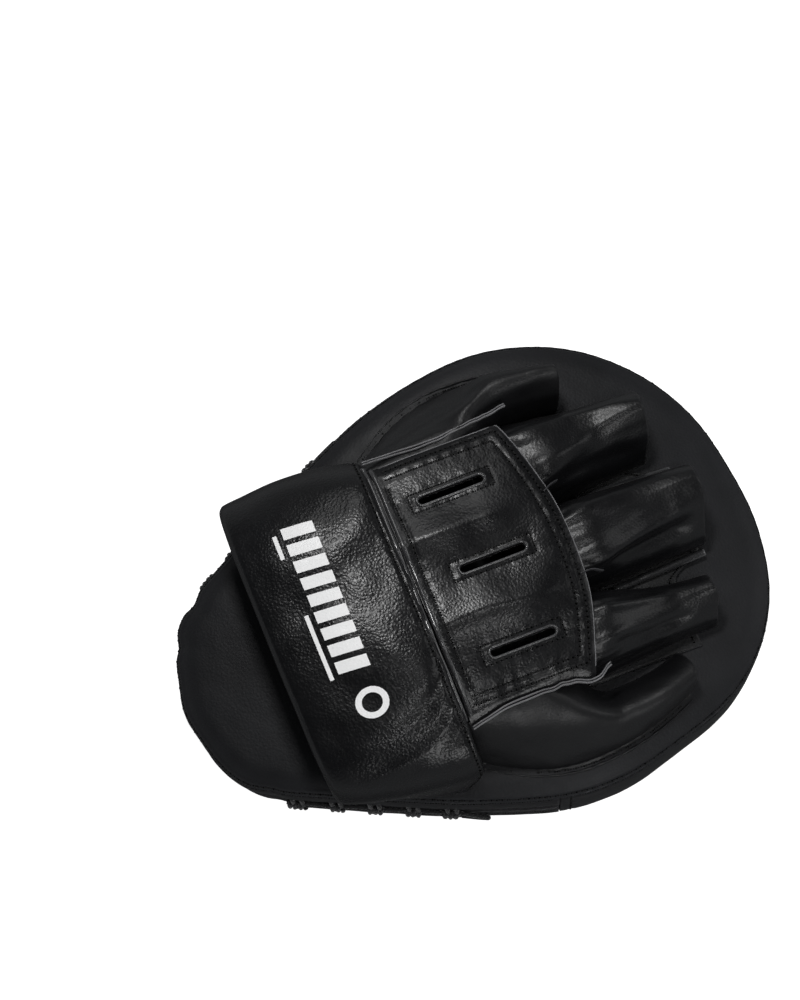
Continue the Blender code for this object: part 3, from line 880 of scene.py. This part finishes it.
def panel_detail(u, v, points):
    x, y = points[:, 0], points[:, 1]
    sway = 0.0016 * noise(points, 0.03, 11)
    folds = 0.0
    for crest_y in (0.0215, -0.0165):
        gap = np.sqrt((y - crest_y - sway + 0.02 * (x - 0.01)) ** 2 + 0.0010 ** 2)
        folds = folds + 2.8 * np.exp(-gap / 0.0075)
    folds = folds * (1 - 0.75 * smoothstep(0.55, 0.90, u)) * (0.85 + 0.3 * noise(points, 0.02, 12))
    dips = sum(-0.7 * bump(y, vy, 0.010) * bump(x, vx, 0.022) for vx, vy, _ in VENTS)
    for vent_x, vent_y, _ in VENTS:
        across = 1 - smoothstep(PATCH_WIDTH / 2 - 0.0012, PATCH_WIDTH / 2, np.abs(y - vent_y))
        dips = dips + 0.28 * across * (1 - smoothstep(0.0163, 0.0175, np.abs(x - vent_x)))
    edges = -1.3 * np.clip(1 - v / 0.05, 0, 1) ** 2 - 1.3 * np.clip(1 - (1 - v) / 0.05, 0, 1) ** 2
    edges = edges - 0.8 * np.clip(1 - (1 - u) / 0.06, 0, 1) ** 2
    edges = edges + 1.0 * bump(y, -0.0490, 0.0036) * bump(x, 0.024, 0.015)
    return (folds + dips + edges + 0.60 * noise(points, 0.024, 13)) * MILLIMETRE


def panel_path(corners):
    """A path on the panel through corners given as x and y on the flat pad."""
    dense = []
    for a, b in zip(corners, corners[1:]):
        for t in np.linspace(0, 1, 12, endpoint=False):
            dense.append((lerp(a[0], b[0], t), lerp(a[1], b[1], t)))
    dense.append(corners[-1])
    return [tuple(float(c) for c in panel_uv(x, y)) for x, y in dense]


def inner_border(inset):
    """The panel's edge moved in, from the lower cuff corner round to the upper one."""
    ys = np.linspace(PANEL_LOW_Y + inset, PANEL_HIGH_Y - inset, 25)
    front = [(knuckle_x(y) - inset, y) for y in ys]
    start = PANEL_START_X + 0.0045
    return [(start, PANEL_LOW_Y + inset), *front, (start, PANEL_HIGH_Y - inset)]


def rectangle(cx, cy, length, width):
    a, b = length / 2, width / 2
    return [(cx - a, cy - b), (cx + a, cy - b), (cx + a, cy + b), (cx - a, cy + b), (cx - a, cy - b)]


panel = Sheet(panel_base, panel_detail)
for inset in (0.0028, 0.0067):
    sew(pad_stitches, panel, panel_path(inner_border(inset)), 0.30, 0.9, 0.16, lift=0.1)
cuff_side_x = PANEL_START_X + 0.0048
cuff_side = panel_path([(cuff_side_x, PANEL_LOW_Y + 0.010), (cuff_side_x, PANEL_HIGH_Y - 0.010)])
sew(pad_stitches, panel, cuff_side, 0.5, 1.0, 0.16, lift=0.1)
for vent_x, vent_y, _ in VENTS:
    border = panel_path(rectangle(vent_x, vent_y, PATCH_LENGTH, PATCH_WIDTH))
    sew(pad_stitches, panel, border, 0.25, 0.8, 0.12, lift=0.1)


def stadium(cx, cy, length, width, count=48):
    """A slot's outline with round ends, on the flat pad."""
    straight = length / 2 - width / 2
    turn = np.linspace(0, FULL_TURN, count, endpoint=False)
    x = cx + np.sign(np.cos(turn)) * straight + width / 2 * np.cos(turn)
    return x, cy + width / 2 * np.sin(turn)


def slot_cutter(cx, cy, length, width):
    """A closed upright body that cuts one slot through the panel."""
    x, y = stadium(cx, cy, length, width)
    top, low = bend(x, y, BACK + 0.055), bend(x, y, BACK + 0.020)
    n = len(x)
    sides = grid_faces(2, n, False, True, turned=True)
    ends = [tuple(range(n - 1, -1, -1)), tuple(range(n, 2 * n))]
    return new_object("slot_cutter", np.vstack([low, top]), sides + ends, [HOLE_SHADE])


def cut_slots(obj):
    cutters = [slot_cutter(x, y, VENT_LENGTH, VENT_WIDTH) for x, y, _ in VENTS]
    for cutter in cutters:
        boolean = obj.modifiers.new("slot", "BOOLEAN")
        boolean.operation = "DIFFERENCE"
        boolean.solver = "EXACT"
        boolean.object = cutter
    apply_modifiers(obj)
    for cutter in cutters:
        bpy.data.objects.remove(cutter, do_unlink=True)
    obj.data.shade_smooth()
    obj.data.set_sharp_from_angle(angle=math.radians(35))


panel_piece = sheet_object("hand_panel", panel, 64, 116, COVER_LEATHER, STOUT_LEATHER, CUT_EDGE)
cut_slots(panel_piece)
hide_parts("hand_back_panel")

under_panel = {"lift": -0.0027, "span": ((0.03, 0.86), (0.07, 0.93))}
panel_lining = sheet_object("hand_panel_lining", panel, 40, 60, LINING, CLOTH, **under_panel)
cut_slots(panel_lining)
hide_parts("hand_back_lining")


LIP_GROW, LIP_RADIUS = 0.0010, 0.00080


def on_panel(x, y, lift):
    return panel.at(*panel_uv(x, y), lift * MILLIMETRE)


def lip(cx, cy, name):
    """The rolled binding round a slot."""
    bundle = Bundle()
    x, y = stadium(cx, cy, VENT_LENGTH + LIP_GROW, VENT_WIDTH + LIP_GROW, 120)
    x = x + 0.0002 * np.sin(np.arange(120) * 0.9)
    bundle.add(*tube(on_panel(x, y, 0.10), LIP_RADIUS, closed=True, flatten=0.8))
    obj = bundle.object(f"slot_lip_{name}", [ROLLED_PAINTED_HIGHLIGHT])
    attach(obj, "pad")
    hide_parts(f"vent_binding_{name}")


for vent in VENTS:
    lip(*vent)


def edge_object(bundle, name, node, look):
    obj = bundle.object(name, [look])
    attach(obj, "pad")
    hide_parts(node)


def standing_edges(bundle, line, lift, gap=0.0011, sway=0.0004, radius=0.00040, tall=3.2):
    """Two raw leather edges that stand side by side along a line over the panel."""
    t = np.linspace(0, 1, len(line))
    wave = sway * wander(6, t * 9.0, 0, 0)
    for side in (-0.5, 0.5):
        part = 0.0003 * wander(19, t * 5.0, side, 0)
        points = on_panel(line[:, 0], line[:, 1] + wave + side * gap + side * part, lift)
        points[:, 2] += 0.0005 * wander(16, t * 5.0, 0, side)
        bundle.add(*tube(points, radius, 8, flatten=tall))


def rolled_edge(bundle, x, y_low, y_high, lift, radius):
    """A turned leather edge that runs along Y beside the cuff."""
    t = np.linspace(0, 1, 200)
    wave = 0.0005 * wander(15, t * 5.0, 0, 0)
    points = on_panel(x + wave, lerp(y_low, y_high, t), lift)
    points[:, 2] += 0.0006 * wander(16, t * 6.0, 0, x * 900)
    bundle.add(*tube(points, radius * (1 + 0.08 * np.sin(t * 40)), 10, flatten=0.8))


left_edges, right_edges, cuff_edges, raw_edges = Bundle(), Bundle(), Bundle(), Bundle()
standing_edges(left_edges, HIGH_SEAM, 0.9)
standing_edges(right_edges, LOW_SEAM, 0.9, sway=0.0007)
rolled_edge(cuff_edges, -0.0230, -0.0560, 0.0625, 0.6, 0.00115)
rolled_edge(cuff_edges, -0.0203, -0.0545, 0.0605, 0.7, 0.00105)
edge_object(left_edges, "edge_left", "side_piping_left", RAW_EDGE_AND_PAINTED_HIGHLIGHT)
edge_object(right_edges, "edge_right", "side_piping_right", RAW_EDGE_AND_PAINTED_HIGHLIGHT)
edge_object(cuff_edges, "edge_cuff", "cuff_seam_piping", ROLLED_PAINTED_HIGHLIGHT)
border = np.array(panel_path(inner_border(0.0002)[1:]))
raw_edges.add(*tube(panel.at(border[:, 0], border[:, 1], 0.0), 0.00024, 8, flatten=0.8))
for corners in (
    [(0.0408, 0.0238), (0.0440, 0.0256), (0.0475, 0.0268)],
    [(0.0418, -0.0150), (0.0465, -0.0150), (0.0505, -0.0168)],
):
    line = rounded_profile(corners, 60)
    rise = 0.9 * np.sin(np.linspace(0, math.pi, 60)) - 1.6 * np.linspace(0, 1, 60) ** 2
    points = on_panel(line[:, 0], line[:, 1], 0.2)
    points[:, 2] += rise * MILLIMETRE
    raw_edges.add(*tube(points, 0.00036, 8, flatten=3.6), kind=1)
panel_edges = raw_edges.object("panel_raw_edges", [RAW_EDGE_AND_PAINTED_HIGHLIGHT, CUT_EDGE])
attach(panel_edges, "pad")


# ----------------------------------------------------------------- the finger sleeves
def fold(u, v, path, width, height):
    """A long soft fold: path is (u, v) corners with rising u, width is in v."""
    us, vs = [p[0] for p in path], [p[1] for p in path]
    starts = smoothstep(us[0], lerp(us[0], us[-1], 0.3), u)
    ends = smoothstep(lerp(us[0], us[-1], 0.75), us[-1] + 0.02, u)
    return height * starts * (1 - ends) * bump(v, np.interp(u, us, vs), width)


class Sleeve:
    """An open arch of soft leather over a finger."""

    def __init__(self, root_y, root_half, end_x, end_y, end_half, end_height, lean, seed, folds):
        self.root_y, self.root_half = root_y, root_half
        self.end_x, self.end_y, self.end_half = end_x, end_y, end_half
        self.end_height, self.lean, self.seed, self.folds = end_height, lean, seed, folds

    def base(self, u, v):
        grow = smoothstep(0.0, 1.0, u)
        half = lerp(self.root_half, self.end_half, smoothstep(-0.25, 1.1, u))
        centre = lerp(self.root_y, self.end_y, u)
        under = cover_height(KNUCKLE_X, self.root_y) - 0.0052
        height = lerp(under, self.end_height, grow) - 0.0030 * bump(u, 0.62, 0.25)
        y, z = arch(half, height, lerp(2.9, 1.7, u), math.pi * (1 - np.clip(v, 0, 1)))
        y = y + self.lean * grow * (z / height) ** 1.6
        root = knuckle_x(np.clip(centre + y, -0.060, 0.064)) - 0.0045
        ruffle = 0.0005 * np.sin(v * 17 + self.seed) * smoothstep(0.6, 1.0, u)
        x = lerp(root, self.end_x + ruffle - 0.0018 * (1 - z / height), u)
        return bend(x, centre + y, BACK + 0.0023 + z)

    def detail(self, u, v, points):
        long_folds = wander(self.seed, u * 1.1, v * 5.5, 0)
        fine_folds = wander(self.seed + 1, u * 2.6, v * 15.0, 0)
        gather = (1 - smoothstep(0.05, 0.60, u)) * smoothstep(0.0, 0.08, u)
        corner = (1 - smoothstep(0.0, 0.40, u)) * (bump(v, 0.15, 0.05) + bump(v, 0.85, 0.05))
        pillow = 2.1 * bump(u, 0.20, 0.14) * (bump(v, 0.37, 0.12) + 0.8 * bump(v, 0.64, 0.10))
        loose = smoothstep(0.10, 0.70, u)
        total = 1.1 * loose * long_folds + 0.9 * gather * fine_folds + 0.15 * loose * fine_folds
        total = total - 2.4 * corner + pillow + 0.15 * noise(points, 0.008, self.seed + 30)
        total = total + sum(fold(u, v, *one) for one in self.folds)
        return total * MILLIMETRE


def sleeve_piece(name, node, sleeve, columns=78, rows=110):
    sheet = Sheet(sleeve.base, sleeve.detail)
    obj = sheet_object(name, sheet, columns, rows, SLEEVE_LEATHER, THIN_LEATHER, CUT_EDGE)
    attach(obj, "pad")
    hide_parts(node)


upper = Sleeve(0.0420, 0.0215, 0.0935, 0.0408, 0.0150, 0.0290, 0.0058, 3, [
    ([(0.05, 0.30), (1.0, 0.16)], 0.06, -2.2),
    ([(0.02, 0.48), (0.6, 0.42)], 0.05, 1.2),
    ([(0.25, 0.66), (1.0, 0.56)], 0.05, 0.9),
])
middle = Sleeve(0.0010, 0.0205, 0.1030, 0.0010, 0.0178, 0.0300, 0.0065, 8, [
    ([(0.10, 0.24), (1.0, 0.22)], 0.05, -2.4),
    ([(0.15, 0.33), (1.0, 0.34)], 0.045, 1.3),
    ([(0.0, 0.60), (0.55, 0.66)], 0.05, 1.0),
])
lower = Sleeve(-0.0375, 0.0195, 0.0945, -0.0405, 0.0105, 0.0200, 0.0024, 14, [
    ([(0.04, 0.34), (0.85, 0.28)], 0.06, -1.8),
    ([(0.02, 0.56), (0.7, 0.60)], 0.05, 1.1),
])
sleeve_piece("sleeve_upper", "finger_sleeve_left", upper)
sleeve_piece("sleeve_middle", "finger_sleeve_centre", middle)
sleeve_piece("sleeve_lower", "finger_sleeve_right", lower)


HEM_WIDTH = 0.0038
HEM_SHARE = 0.10


def hem_y(x):
    curve = np.where(x < HEM_WIDEST_X, 8.5, 4.2)
    return HEM_HALF_WIDTH - curve * (x - HEM_WIDEST_X) ** 2


class SidePanel:
    """The leather beside the hand, sewn down at its hem and open at its front end."""

    def __init__(self, side, inner_y, end_x, end_height, lean, seed, folds):
        self.side, self.inner_y, self.end_x = side, inner_y, end_x
        self.end_height, self.lean, self.seed, self.folds = end_height, lean, seed, folds

    def base(self, u, v):
        x = lerp(COVER_START_X - 0.0008, self.end_x, u)
        sleeve = smoothstep(0.010, 0.040, x)
        outer = hem_y(x) - 0.0015
        sleeve_half = lerp(0.0122, 0.0090, smoothstep(0.033, self.end_x, x))
        half = lerp(outer - self.inner_y, sleeve_half, sleeve)
        under = cover_height(x, self.inner_y) - 0.0023
        height = lerp(under, self.end_height, sleeve)
        share = np.clip(v if self.side < 0 else 1 - v, 0, 1)
        flange = np.clip(1 - share / HEM_SHARE, 0, 1)
        share = np.clip((share - HEM_SHARE) / (1 - HEM_SHARE), 0, 1)
        y, z = arch(half, height, lerp(1.55, 1.9, sleeve), lerp(math.pi / 2, math.pi, sleeve) * share)
        y = y + self.lean * sleeve * (z / height) ** 1.6 + HEM_WIDTH * flange
        x = x - 0.003 * sleeve * smoothstep(0.6, 1.0, u) * (1 - z / height)
        rolled = 0.0010 * bump(flange, 0.90, 0.12)
        return bend(x, self.side * (outer - half + y), BACK + 0.0009 + z - 0.0009 * flange + rolled)

    def detail(self, u, v, points):
        hem = v if self.side < 0 else 1 - v
        free = smoothstep(HEM_SHARE, 0.34, hem)
        broad = 1.1 * noise(points, 0.036, self.seed) + 0.20 * noise(points, 0.012, self.seed + 5)
        gathers = 0.30 * np.sin(u * 24 + 3 * noise(points, 0.02, self.seed + 9)) * bump(hem, 0.22, 0.08)
        total = free * broad + gathers + 0.10 * noise(points, 0.006, self.seed + 2)
        total = total + sum(fold(u, hem, *one) for one in self.folds)
        return total * MILLIMETRE


def side_piece(name, node, shape):
    sheet = Sheet(shape.base, shape.detail)
    hem = 0.055 if shape.side < 0 else 0.945
    path = [(lerp(0.02, 0.97, k / 10), hem) for k in range(11)]
    sew(pad_stitches, sheet, path, 0.6, 1.1, 0.25, lift=0.1)
    obj = sheet_object(name, sheet, 120, 80, PANEL_LEATHER, THIN_LEATHER, CUT_EDGE)
    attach(obj, "pad")
    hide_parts(node)


side_piece("side_upper", "side_panel_left", SidePanel(1, 0.0600, 0.0665, 0.0280, 0.0050, 31, [
    ([(0.0, 0.58), (0.75, 0.50)], 0.10, -1.5),
    ([(0.35, 0.66), (1.0, 0.64)], 0.09, 1.3),
    ([(0.0, 0.80), (0.6, 0.84)], 0.07, 0.8),
]))
side_piece("side_lower", "side_panel_right", SidePanel(-1, 0.0565, 0.0745, 0.0150, 0.0030, 37, [
    ([(0.0, 0.55), (0.80, 0.34)], 0.12, -1.0),
    ([(0.30, 0.66), (1.0, 0.54)], 0.11, 0.9),
]))


def base_surface(u, v):
    y = lerp(-0.057, 0.057, v)
    front = 0.1000 - 0.0155 * smoothstep(0.016, 0.027, np.abs(y))
    return bend(lerp(0.020, front, u), y, BACK + 0.0018)


base_sheet = Sheet(base_surface, lambda u, v, p: (0.25 * noise(p, 0.02, 50) + 0.1) * MILLIMETRE)
stitch(pad_stitches, base_sheet, [(0.955, 0.02 + 0.096 * k) for k in range(11)], lift=0.1)
for y_share in (0.13, 0.325, 0.675, 0.87):
    stitch(pad_stitches, base_sheet, [(0.45, y_share), (0.95, y_share)], lift=0.1)
base_piece = sheet_object("sleeve_backing", base_sheet, 60, 80, PANEL_LEATHER, FINE_LEATHER, CUT_EDGE)
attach(base_piece, "pad")
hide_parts("sleeve_base")


def strip_piece(name, node, side):
    """A raised seam strip between two middle sleeves."""

    def surface(u, v):
        x = lerp(0.058, 0.1010, u)
        y = side * lerp(0.0215, 0.0195, u) + (v - 0.5) * 0.0034
        return bend(x, y, BACK + 0.0034 + 0.0007 * np.sin(np.pi * np.clip(v, 0, 1)))

    sheet = Sheet(surface, lambda u, v, p: 0.2 * noise(p, 0.008, 51) * MILLIMETRE)
    obj = sheet_object(name, sheet, 50, 8, ROLLED_PAINTED_HIGHLIGHT, THIN_LEATHER, CUT_EDGE)
    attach(obj, "pad")
    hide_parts(node)


strip_piece("strip_upper", "sleeve_seam_strip_left", 1)
strip_piece("strip_lower", "sleeve_seam_strip_right", -1)


def grip_surface(u, v):
    turn, rise = u * FULL_TURN, np.clip(v, 0, 1) * math.pi / 2
    ring = np.cos(rise) ** 0.8
    x = -0.002 + 0.0160 * np.cos(turn) * ring
    y = 0.0340 * np.sin(turn) * ring
    return bend(x, y, BACK + 0.0004 + 0.0150 * np.sin(rise) ** 0.85)


grip = Sheet(grip_surface, lambda u, v, p: 0.4 * noise(p, 0.012, 60) * smoothstep(0, 0.3, v) * MILLIMETRE)
grip_piece = sheet_object("palm_roll", grip, 96, 24, PANEL_LEATHER, closed=True)
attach(grip_piece, "pad")
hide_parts("palm_grip")


# -------------------------------------------------------------------------- the cuff
CUFF_WIDTH = CUFF_SEAM_X - CUFF_FREE_X
CUFF_STITCH_LINE = 0.905
CUFF_PROFILE = rounded_profile(
    [
        (0.0140, 0.0074), (0.0080, 0.0074), (0.0030, 0.0073), (0.0008, 0.0064), (-0.0004, 0.0045),
        (-0.0003, 0.0023), (0.0008, 0.0007), (0.0034, -0.0004), (0.0140, -0.0014), (0.0270, -0.0018),
        (0.0400, -0.0013), (0.0500, -0.0004), (0.0560, 0.0006), (0.0592, 0.0014), (0.0604, 0.0030),
    ],
    240,
)


def cuff_half(along, positive):
    """Half the cuff's width: it widens towards the seam on its -Y side only."""
    low_half = lerp(CUFF_HALF_FREE, CUFF_HALF_SEAM, along)
    return np.where(positive, lerp(CUFF_HIGH_HALF_FREE, CUFF_HIGH_HALF_SEAM, along), low_half)


def cuff_point(along, angle, inset):
    half = cuff_half(along, np.cos(angle) > 0) - inset
    height = CUFF_HEIGHT - inset
    y, z = arch(half, height, CUFF_SQUARENESS, angle)
    rise = smoothstep(0.0, 0.55, z / height)
    foot_share = lerp(CUFF_FOOT_HALF_FREE / CUFF_HALF_FREE, 1.0, along)
    x = lerp(CUFF_FREE_X, CUFF_SEAM_X, along) - CUFF_FOOT_SLANT * along * (1 - rise)
    return bend(x, y * lerp(foot_share, 1.0, rise), BACK + 0.0004 + z)


def cuff_angle(v):
    """Angles spread so that the points are even along the arch, not bunched at its feet."""
    return math.pi * np.interp(v, CUFF_EVEN[0], CUFF_EVEN[1])


def even_arch():
    angle = np.linspace(0, math.pi, 4001)
    y, z = arch(CUFF_HIGH_HALF_FREE, CUFF_HEIGHT, CUFF_SQUARENESS, angle)
    run = run_along(np.stack([y, z], -1))
    return run / run[-1], angle / math.pi


CUFF_EVEN = even_arch()


def cuff_base(u, v):
    run, inset = on_profile(CUFF_PROFILE, u)
    return cuff_point(run / CUFF_WIDTH, cuff_angle(v), inset)


def cuff_detail(u, v, points):
    outer = smoothstep(0.30, 0.50, u)
    broad = 0.95 * noise(points, 0.034, 70) + 0.34 * noise(points, 0.014, 71)
    creases = fold(v, u, [(0.60, 0.98), (0.74, 0.70)], 0.035, -0.9)
    creases = creases + fold(v, u, [(0.70, 0.95), (0.82, 0.62)], 0.04, 0.8)
    waves = 0.55 * np.sin(v * 24 + 1.6 * noise(points, 0.05, 76)) * bump(u, 0.70, 0.20)
    drag = 0.2 * np.sin(v * 60 + 4 * noise(points, 0.03, 73)) * smoothstep(0.86, 0.97, u)
    return (outer * (broad + creases + waves + drag) + 0.2 * noise(points, 0.02, 74)) * MILLIMETRE


def cuff_path(u, v0=0.012, v1=0.988):
    return [(u, lerp(v0, v1, k / 16)) for k in range(17)]


def bends_with_cuff(obj):
    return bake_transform(obj)


cuff_sheet = Sheet(cuff_base, cuff_detail, flip=True)
sew(cuff_stitches, cuff_sheet, cuff_path(CUFF_STITCH_LINE), 0.6, 1.1, 0.22, lift=0.1)
cuff_piece = sheet_object("cuff_leather", cuff_sheet, 120, 230, CUFF_LEATHER, CUFF_SKIN, CUT_EDGE)
bends_with_cuff(cuff_piece)
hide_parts("cuff_shell", "cuff_foam")


def cuff_inside(u, v):
    run = lerp(0.0100, 0.0592, u)
    return cuff_point(run / CUFF_WIDTH, cuff_angle(v), 0.0080 - 0.0024 * smoothstep(0.9, 1.0, u))


inside = Sheet(cuff_inside, lambda u, v, p: -0.3 * noise(p, 0.02, 75) * MILLIMETRE)
lining_piece = sheet_object("cuff_lining_cloth", inside, 60, 150, LINING, CLOTH)
bends_with_cuff(lining_piece)
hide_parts("cuff_lining")


def cuff_uv(x, y):
    """Where a point on the cuff's top, given as x and y on the flat pad, lies on its sheet."""
    run = np.asarray(x, float) - CUFF_FREE_X
    outer = CUFF_PROFILE[:, 0].argmin()
    place = np.interp(run, CUFF_PROFILE[outer:-12, 0], np.arange(outer, len(CUFF_PROFILE) - 12))
    inset = np.interp(place, np.arange(len(CUFF_PROFILE)), CUFF_PROFILE[:, 1])
    half = cuff_half(run / CUFF_WIDTH, np.asarray(y, float) > 0) - inset
    share = np.clip(np.asarray(y, float) / half, -0.999, 0.999)
    angle = np.arccos(np.sign(share) * np.abs(share) ** (CUFF_SQUARENESS / 2))
    return place / (len(CUFF_PROFILE) - 1), np.interp(angle / math.pi, CUFF_EVEN[1], CUFF_EVEN[0])


def print_patch(bundle, corners, lift=0.00022, n=10):
    """A flat printed shape on the cuff, from four corners in order, in x and y."""
    a, b, c, d = (np.array(p) for p in corners)
    s, t = np.meshgrid(np.linspace(0, 1, n), np.linspace(0, 1, n), indexing="ij")
    s, t = s.ravel()[:, None], t.ravel()[:, None]
    flat = a * (1 - s) * (1 - t) + b * s * (1 - t) + c * s * t + d * (1 - s) * t
    points = cuff_sheet.at(*cuff_uv(flat[:, 0], flat[:, 1]), lift)
    bundle.add(points, grid_faces(n, n, turned=True))


def ring_point(radius, turn):
    return RING_X + radius * math.cos(turn), RING_Y + radius * math.sin(turn)


BAR_COUNT, BAR_FIRST_Y, BAR_PITCH, BAR_HEIGHT, BAR_SLANT = 9, 0.0490, 0.0078, 0.0053, 0.0015
BAR_X, BAR_END_X = -0.0625, -0.0495
LINE_X, LINE_END_X = -0.0665, -0.0648
LINES = ((0.047, 0.036), (0.010, -0.020))
RING_X, RING_Y, RING_OUTER, RING_INNER, RING_STEPS = -0.0545, -0.0350, 0.0068, 0.0042, 24

cuff_print = Bundle()
for k in range(BAR_COUNT):
    y = BAR_FIRST_Y - k * BAR_PITCH
    low = y - BAR_HEIGHT
    bar = [(BAR_X, y), (BAR_END_X, y - BAR_SLANT), (BAR_END_X, low - BAR_SLANT), (BAR_X, low)]
    print_patch(cuff_print, bar)
for y, low in LINES:
    print_patch(cuff_print, [(LINE_X, y), (LINE_END_X, y), (LINE_END_X, low), (LINE_X, low)])
for k in range(RING_STEPS):
    a, b = FULL_TURN * k / RING_STEPS, FULL_TURN * (k + 1) / RING_STEPS
    places = ((RING_OUTER, a), (RING_INNER, a), (RING_INNER, b), (RING_OUTER, b))
    print_patch(cuff_print, [ring_point(*place) for place in places])
cuff_marks = cuff_print.object("cuff_print", [WHITE_INK])
bends_with_cuff(cuff_marks)

# ------------------------------------------------------------------ marks and threads
face_print("face_print_ring", (0.0300, 0.0240), WHITE_INK)
face_print("face_print_line", (0.0340, 0.0325), GREY_INK)
face_print("face_print_dot", (0.0090, 0.0002), WHITE_INK)

pad_threads = pad_stitches.object("pad_stitching", [THREAD, HOLE_SHADE])
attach(pad_threads, "pad")
cuff_threads = cuff_stitches.object("cuff_stitching", [THREAD, HOLE_SHADE])
bends_with_cuff(cuff_threads)
for piece in (pad_back, pad_face, panel_piece, panel_lining):
    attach(piece, "pad")
for name in ("sidewall_finger_end", "sidewall_wrist_lower", "sidewall_wrist_upper"):
    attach(bpy.data.objects[name], "pad")


# --------------------------------------------------------------- floor, light, camera
def floor():
    look = Look("floor_white")
    grey = look.ramp(look.noise(0.4), 0.80, 0.82)
    look.paint(look.mix(grey, (0.0, 0.0, 0.0), (1.0, 1.0, 1.0)))
    look.fixed(Roughness=0.9, Specular_IOR_Level=0.2)
    look.fixed(Emission_Color=(1.0, 1.0, 1.0, 1.0), Emission_Strength=0.90)
    size = 6.0
    corners = [(-size, -size, 0), (size, -size, 0), (size, size, 0), (-size, size, 0)]
    obj = new_object("floor", corners, [(0, 1, 2, 3)], look.done(), smooth=False)
    obj.visible_glossy = False


AIM = Vector((0, 0, 0.05))
# The name, place, size and power of each soft box
LIGHTS = (
    ("key_overhead", (0.02, 0.40, 1.07), (0.15, 0.15), 4.5),
    ("key_near_side", (0.09, -0.30, 1.10), (0.13, 0.13), 1.2),
    ("key_far_side", (0.10, 0.46, 0.55), (0.22, 0.16), 0.35),
    ("fill_front", (0.10, -0.78, 0.72), (0.40, 0.24), 2.2),
    ("edge_right", (0.95, -0.10, 0.60), (0.4, 0.9), 1.5),
)


def stand_at(name, data, place, facing):
    """Puts a light or the camera at a place, looking along facing."""
    obj = bpy.data.objects.new(name, data)
    bpy.context.scene.collection.objects.link(obj)
    obj.location = place
    obj.rotation_mode = "QUATERNION"
    obj.rotation_quaternion = facing.to_track_quat("-Z", "Y")
    return obj


def soft_box(name, place, size, power):
    light = bpy.data.lights.new(name, "AREA")
    light.shape = "RECTANGLE"
    light.size, light.size_y = size
    light.energy = power
    stand_at(name, light, place, AIM - Vector(place))


def surround(level, zenith):
    """A plain studio round the floor: paler walls at the level, a dark ceiling."""
    world = bpy.data.worlds.new("studio")
    bpy.context.scene.world = world
    world.use_nodes = True
    tree = world.node_tree
    place = tree.nodes.new("ShaderNodeTexCoord")
    split = tree.nodes.new("ShaderNodeSeparateXYZ")
    rise = tree.nodes.new("ShaderNodeMath")
    rise.operation = "ABSOLUTE"
    fade = tree.nodes.new("ShaderNodeMapRange")
    put(fade, From_Min=0.25, From_Max=0.70, To_Min=level, To_Max=zenith)
    background = tree.nodes["Background"]
    put(background, Color=(0.96, 0.98, 1.0, 1.0))
    tree.links.new(place.outputs["Generated"], split.inputs["Vector"])
    tree.links.new(split.outputs["Z"], rise.inputs[0])
    tree.links.new(rise.outputs["Value"], fade.inputs["Value"])
    tree.links.new(fade.outputs["Result"], background.inputs["Strength"])


def camera():
    """Looks down on the mitt from past its right-hand side, with the wrist to the left."""
    turn, rise, distance, width = math.radians(-22), math.radians(78), 2.6, 0.4310
    back_way = Vector((math.sin(turn) * math.cos(rise), -math.cos(turn) * math.cos(rise), math.sin(rise)))
    right = Vector((math.cos(turn), math.sin(turn), 0))
    up = back_way.cross(right)
    aim = Vector((0, 0, 0.0538)) - 0.0299 * right + 0.0418 * up
    data = bpy.data.cameras.new("camera")
    data.sensor_width = 36
    data.lens = 36 * distance / width
    data.clip_start, data.clip_end = 0.05, 30
    bpy.context.scene.camera = stand_at("camera", data, aim + back_way * distance, -back_way)


floor()
surround(0.36, 0.05)
for light in LIGHTS:
    soft_box(*light)
camera()
bpy.context.scene.view_settings.view_transform = "Standard"
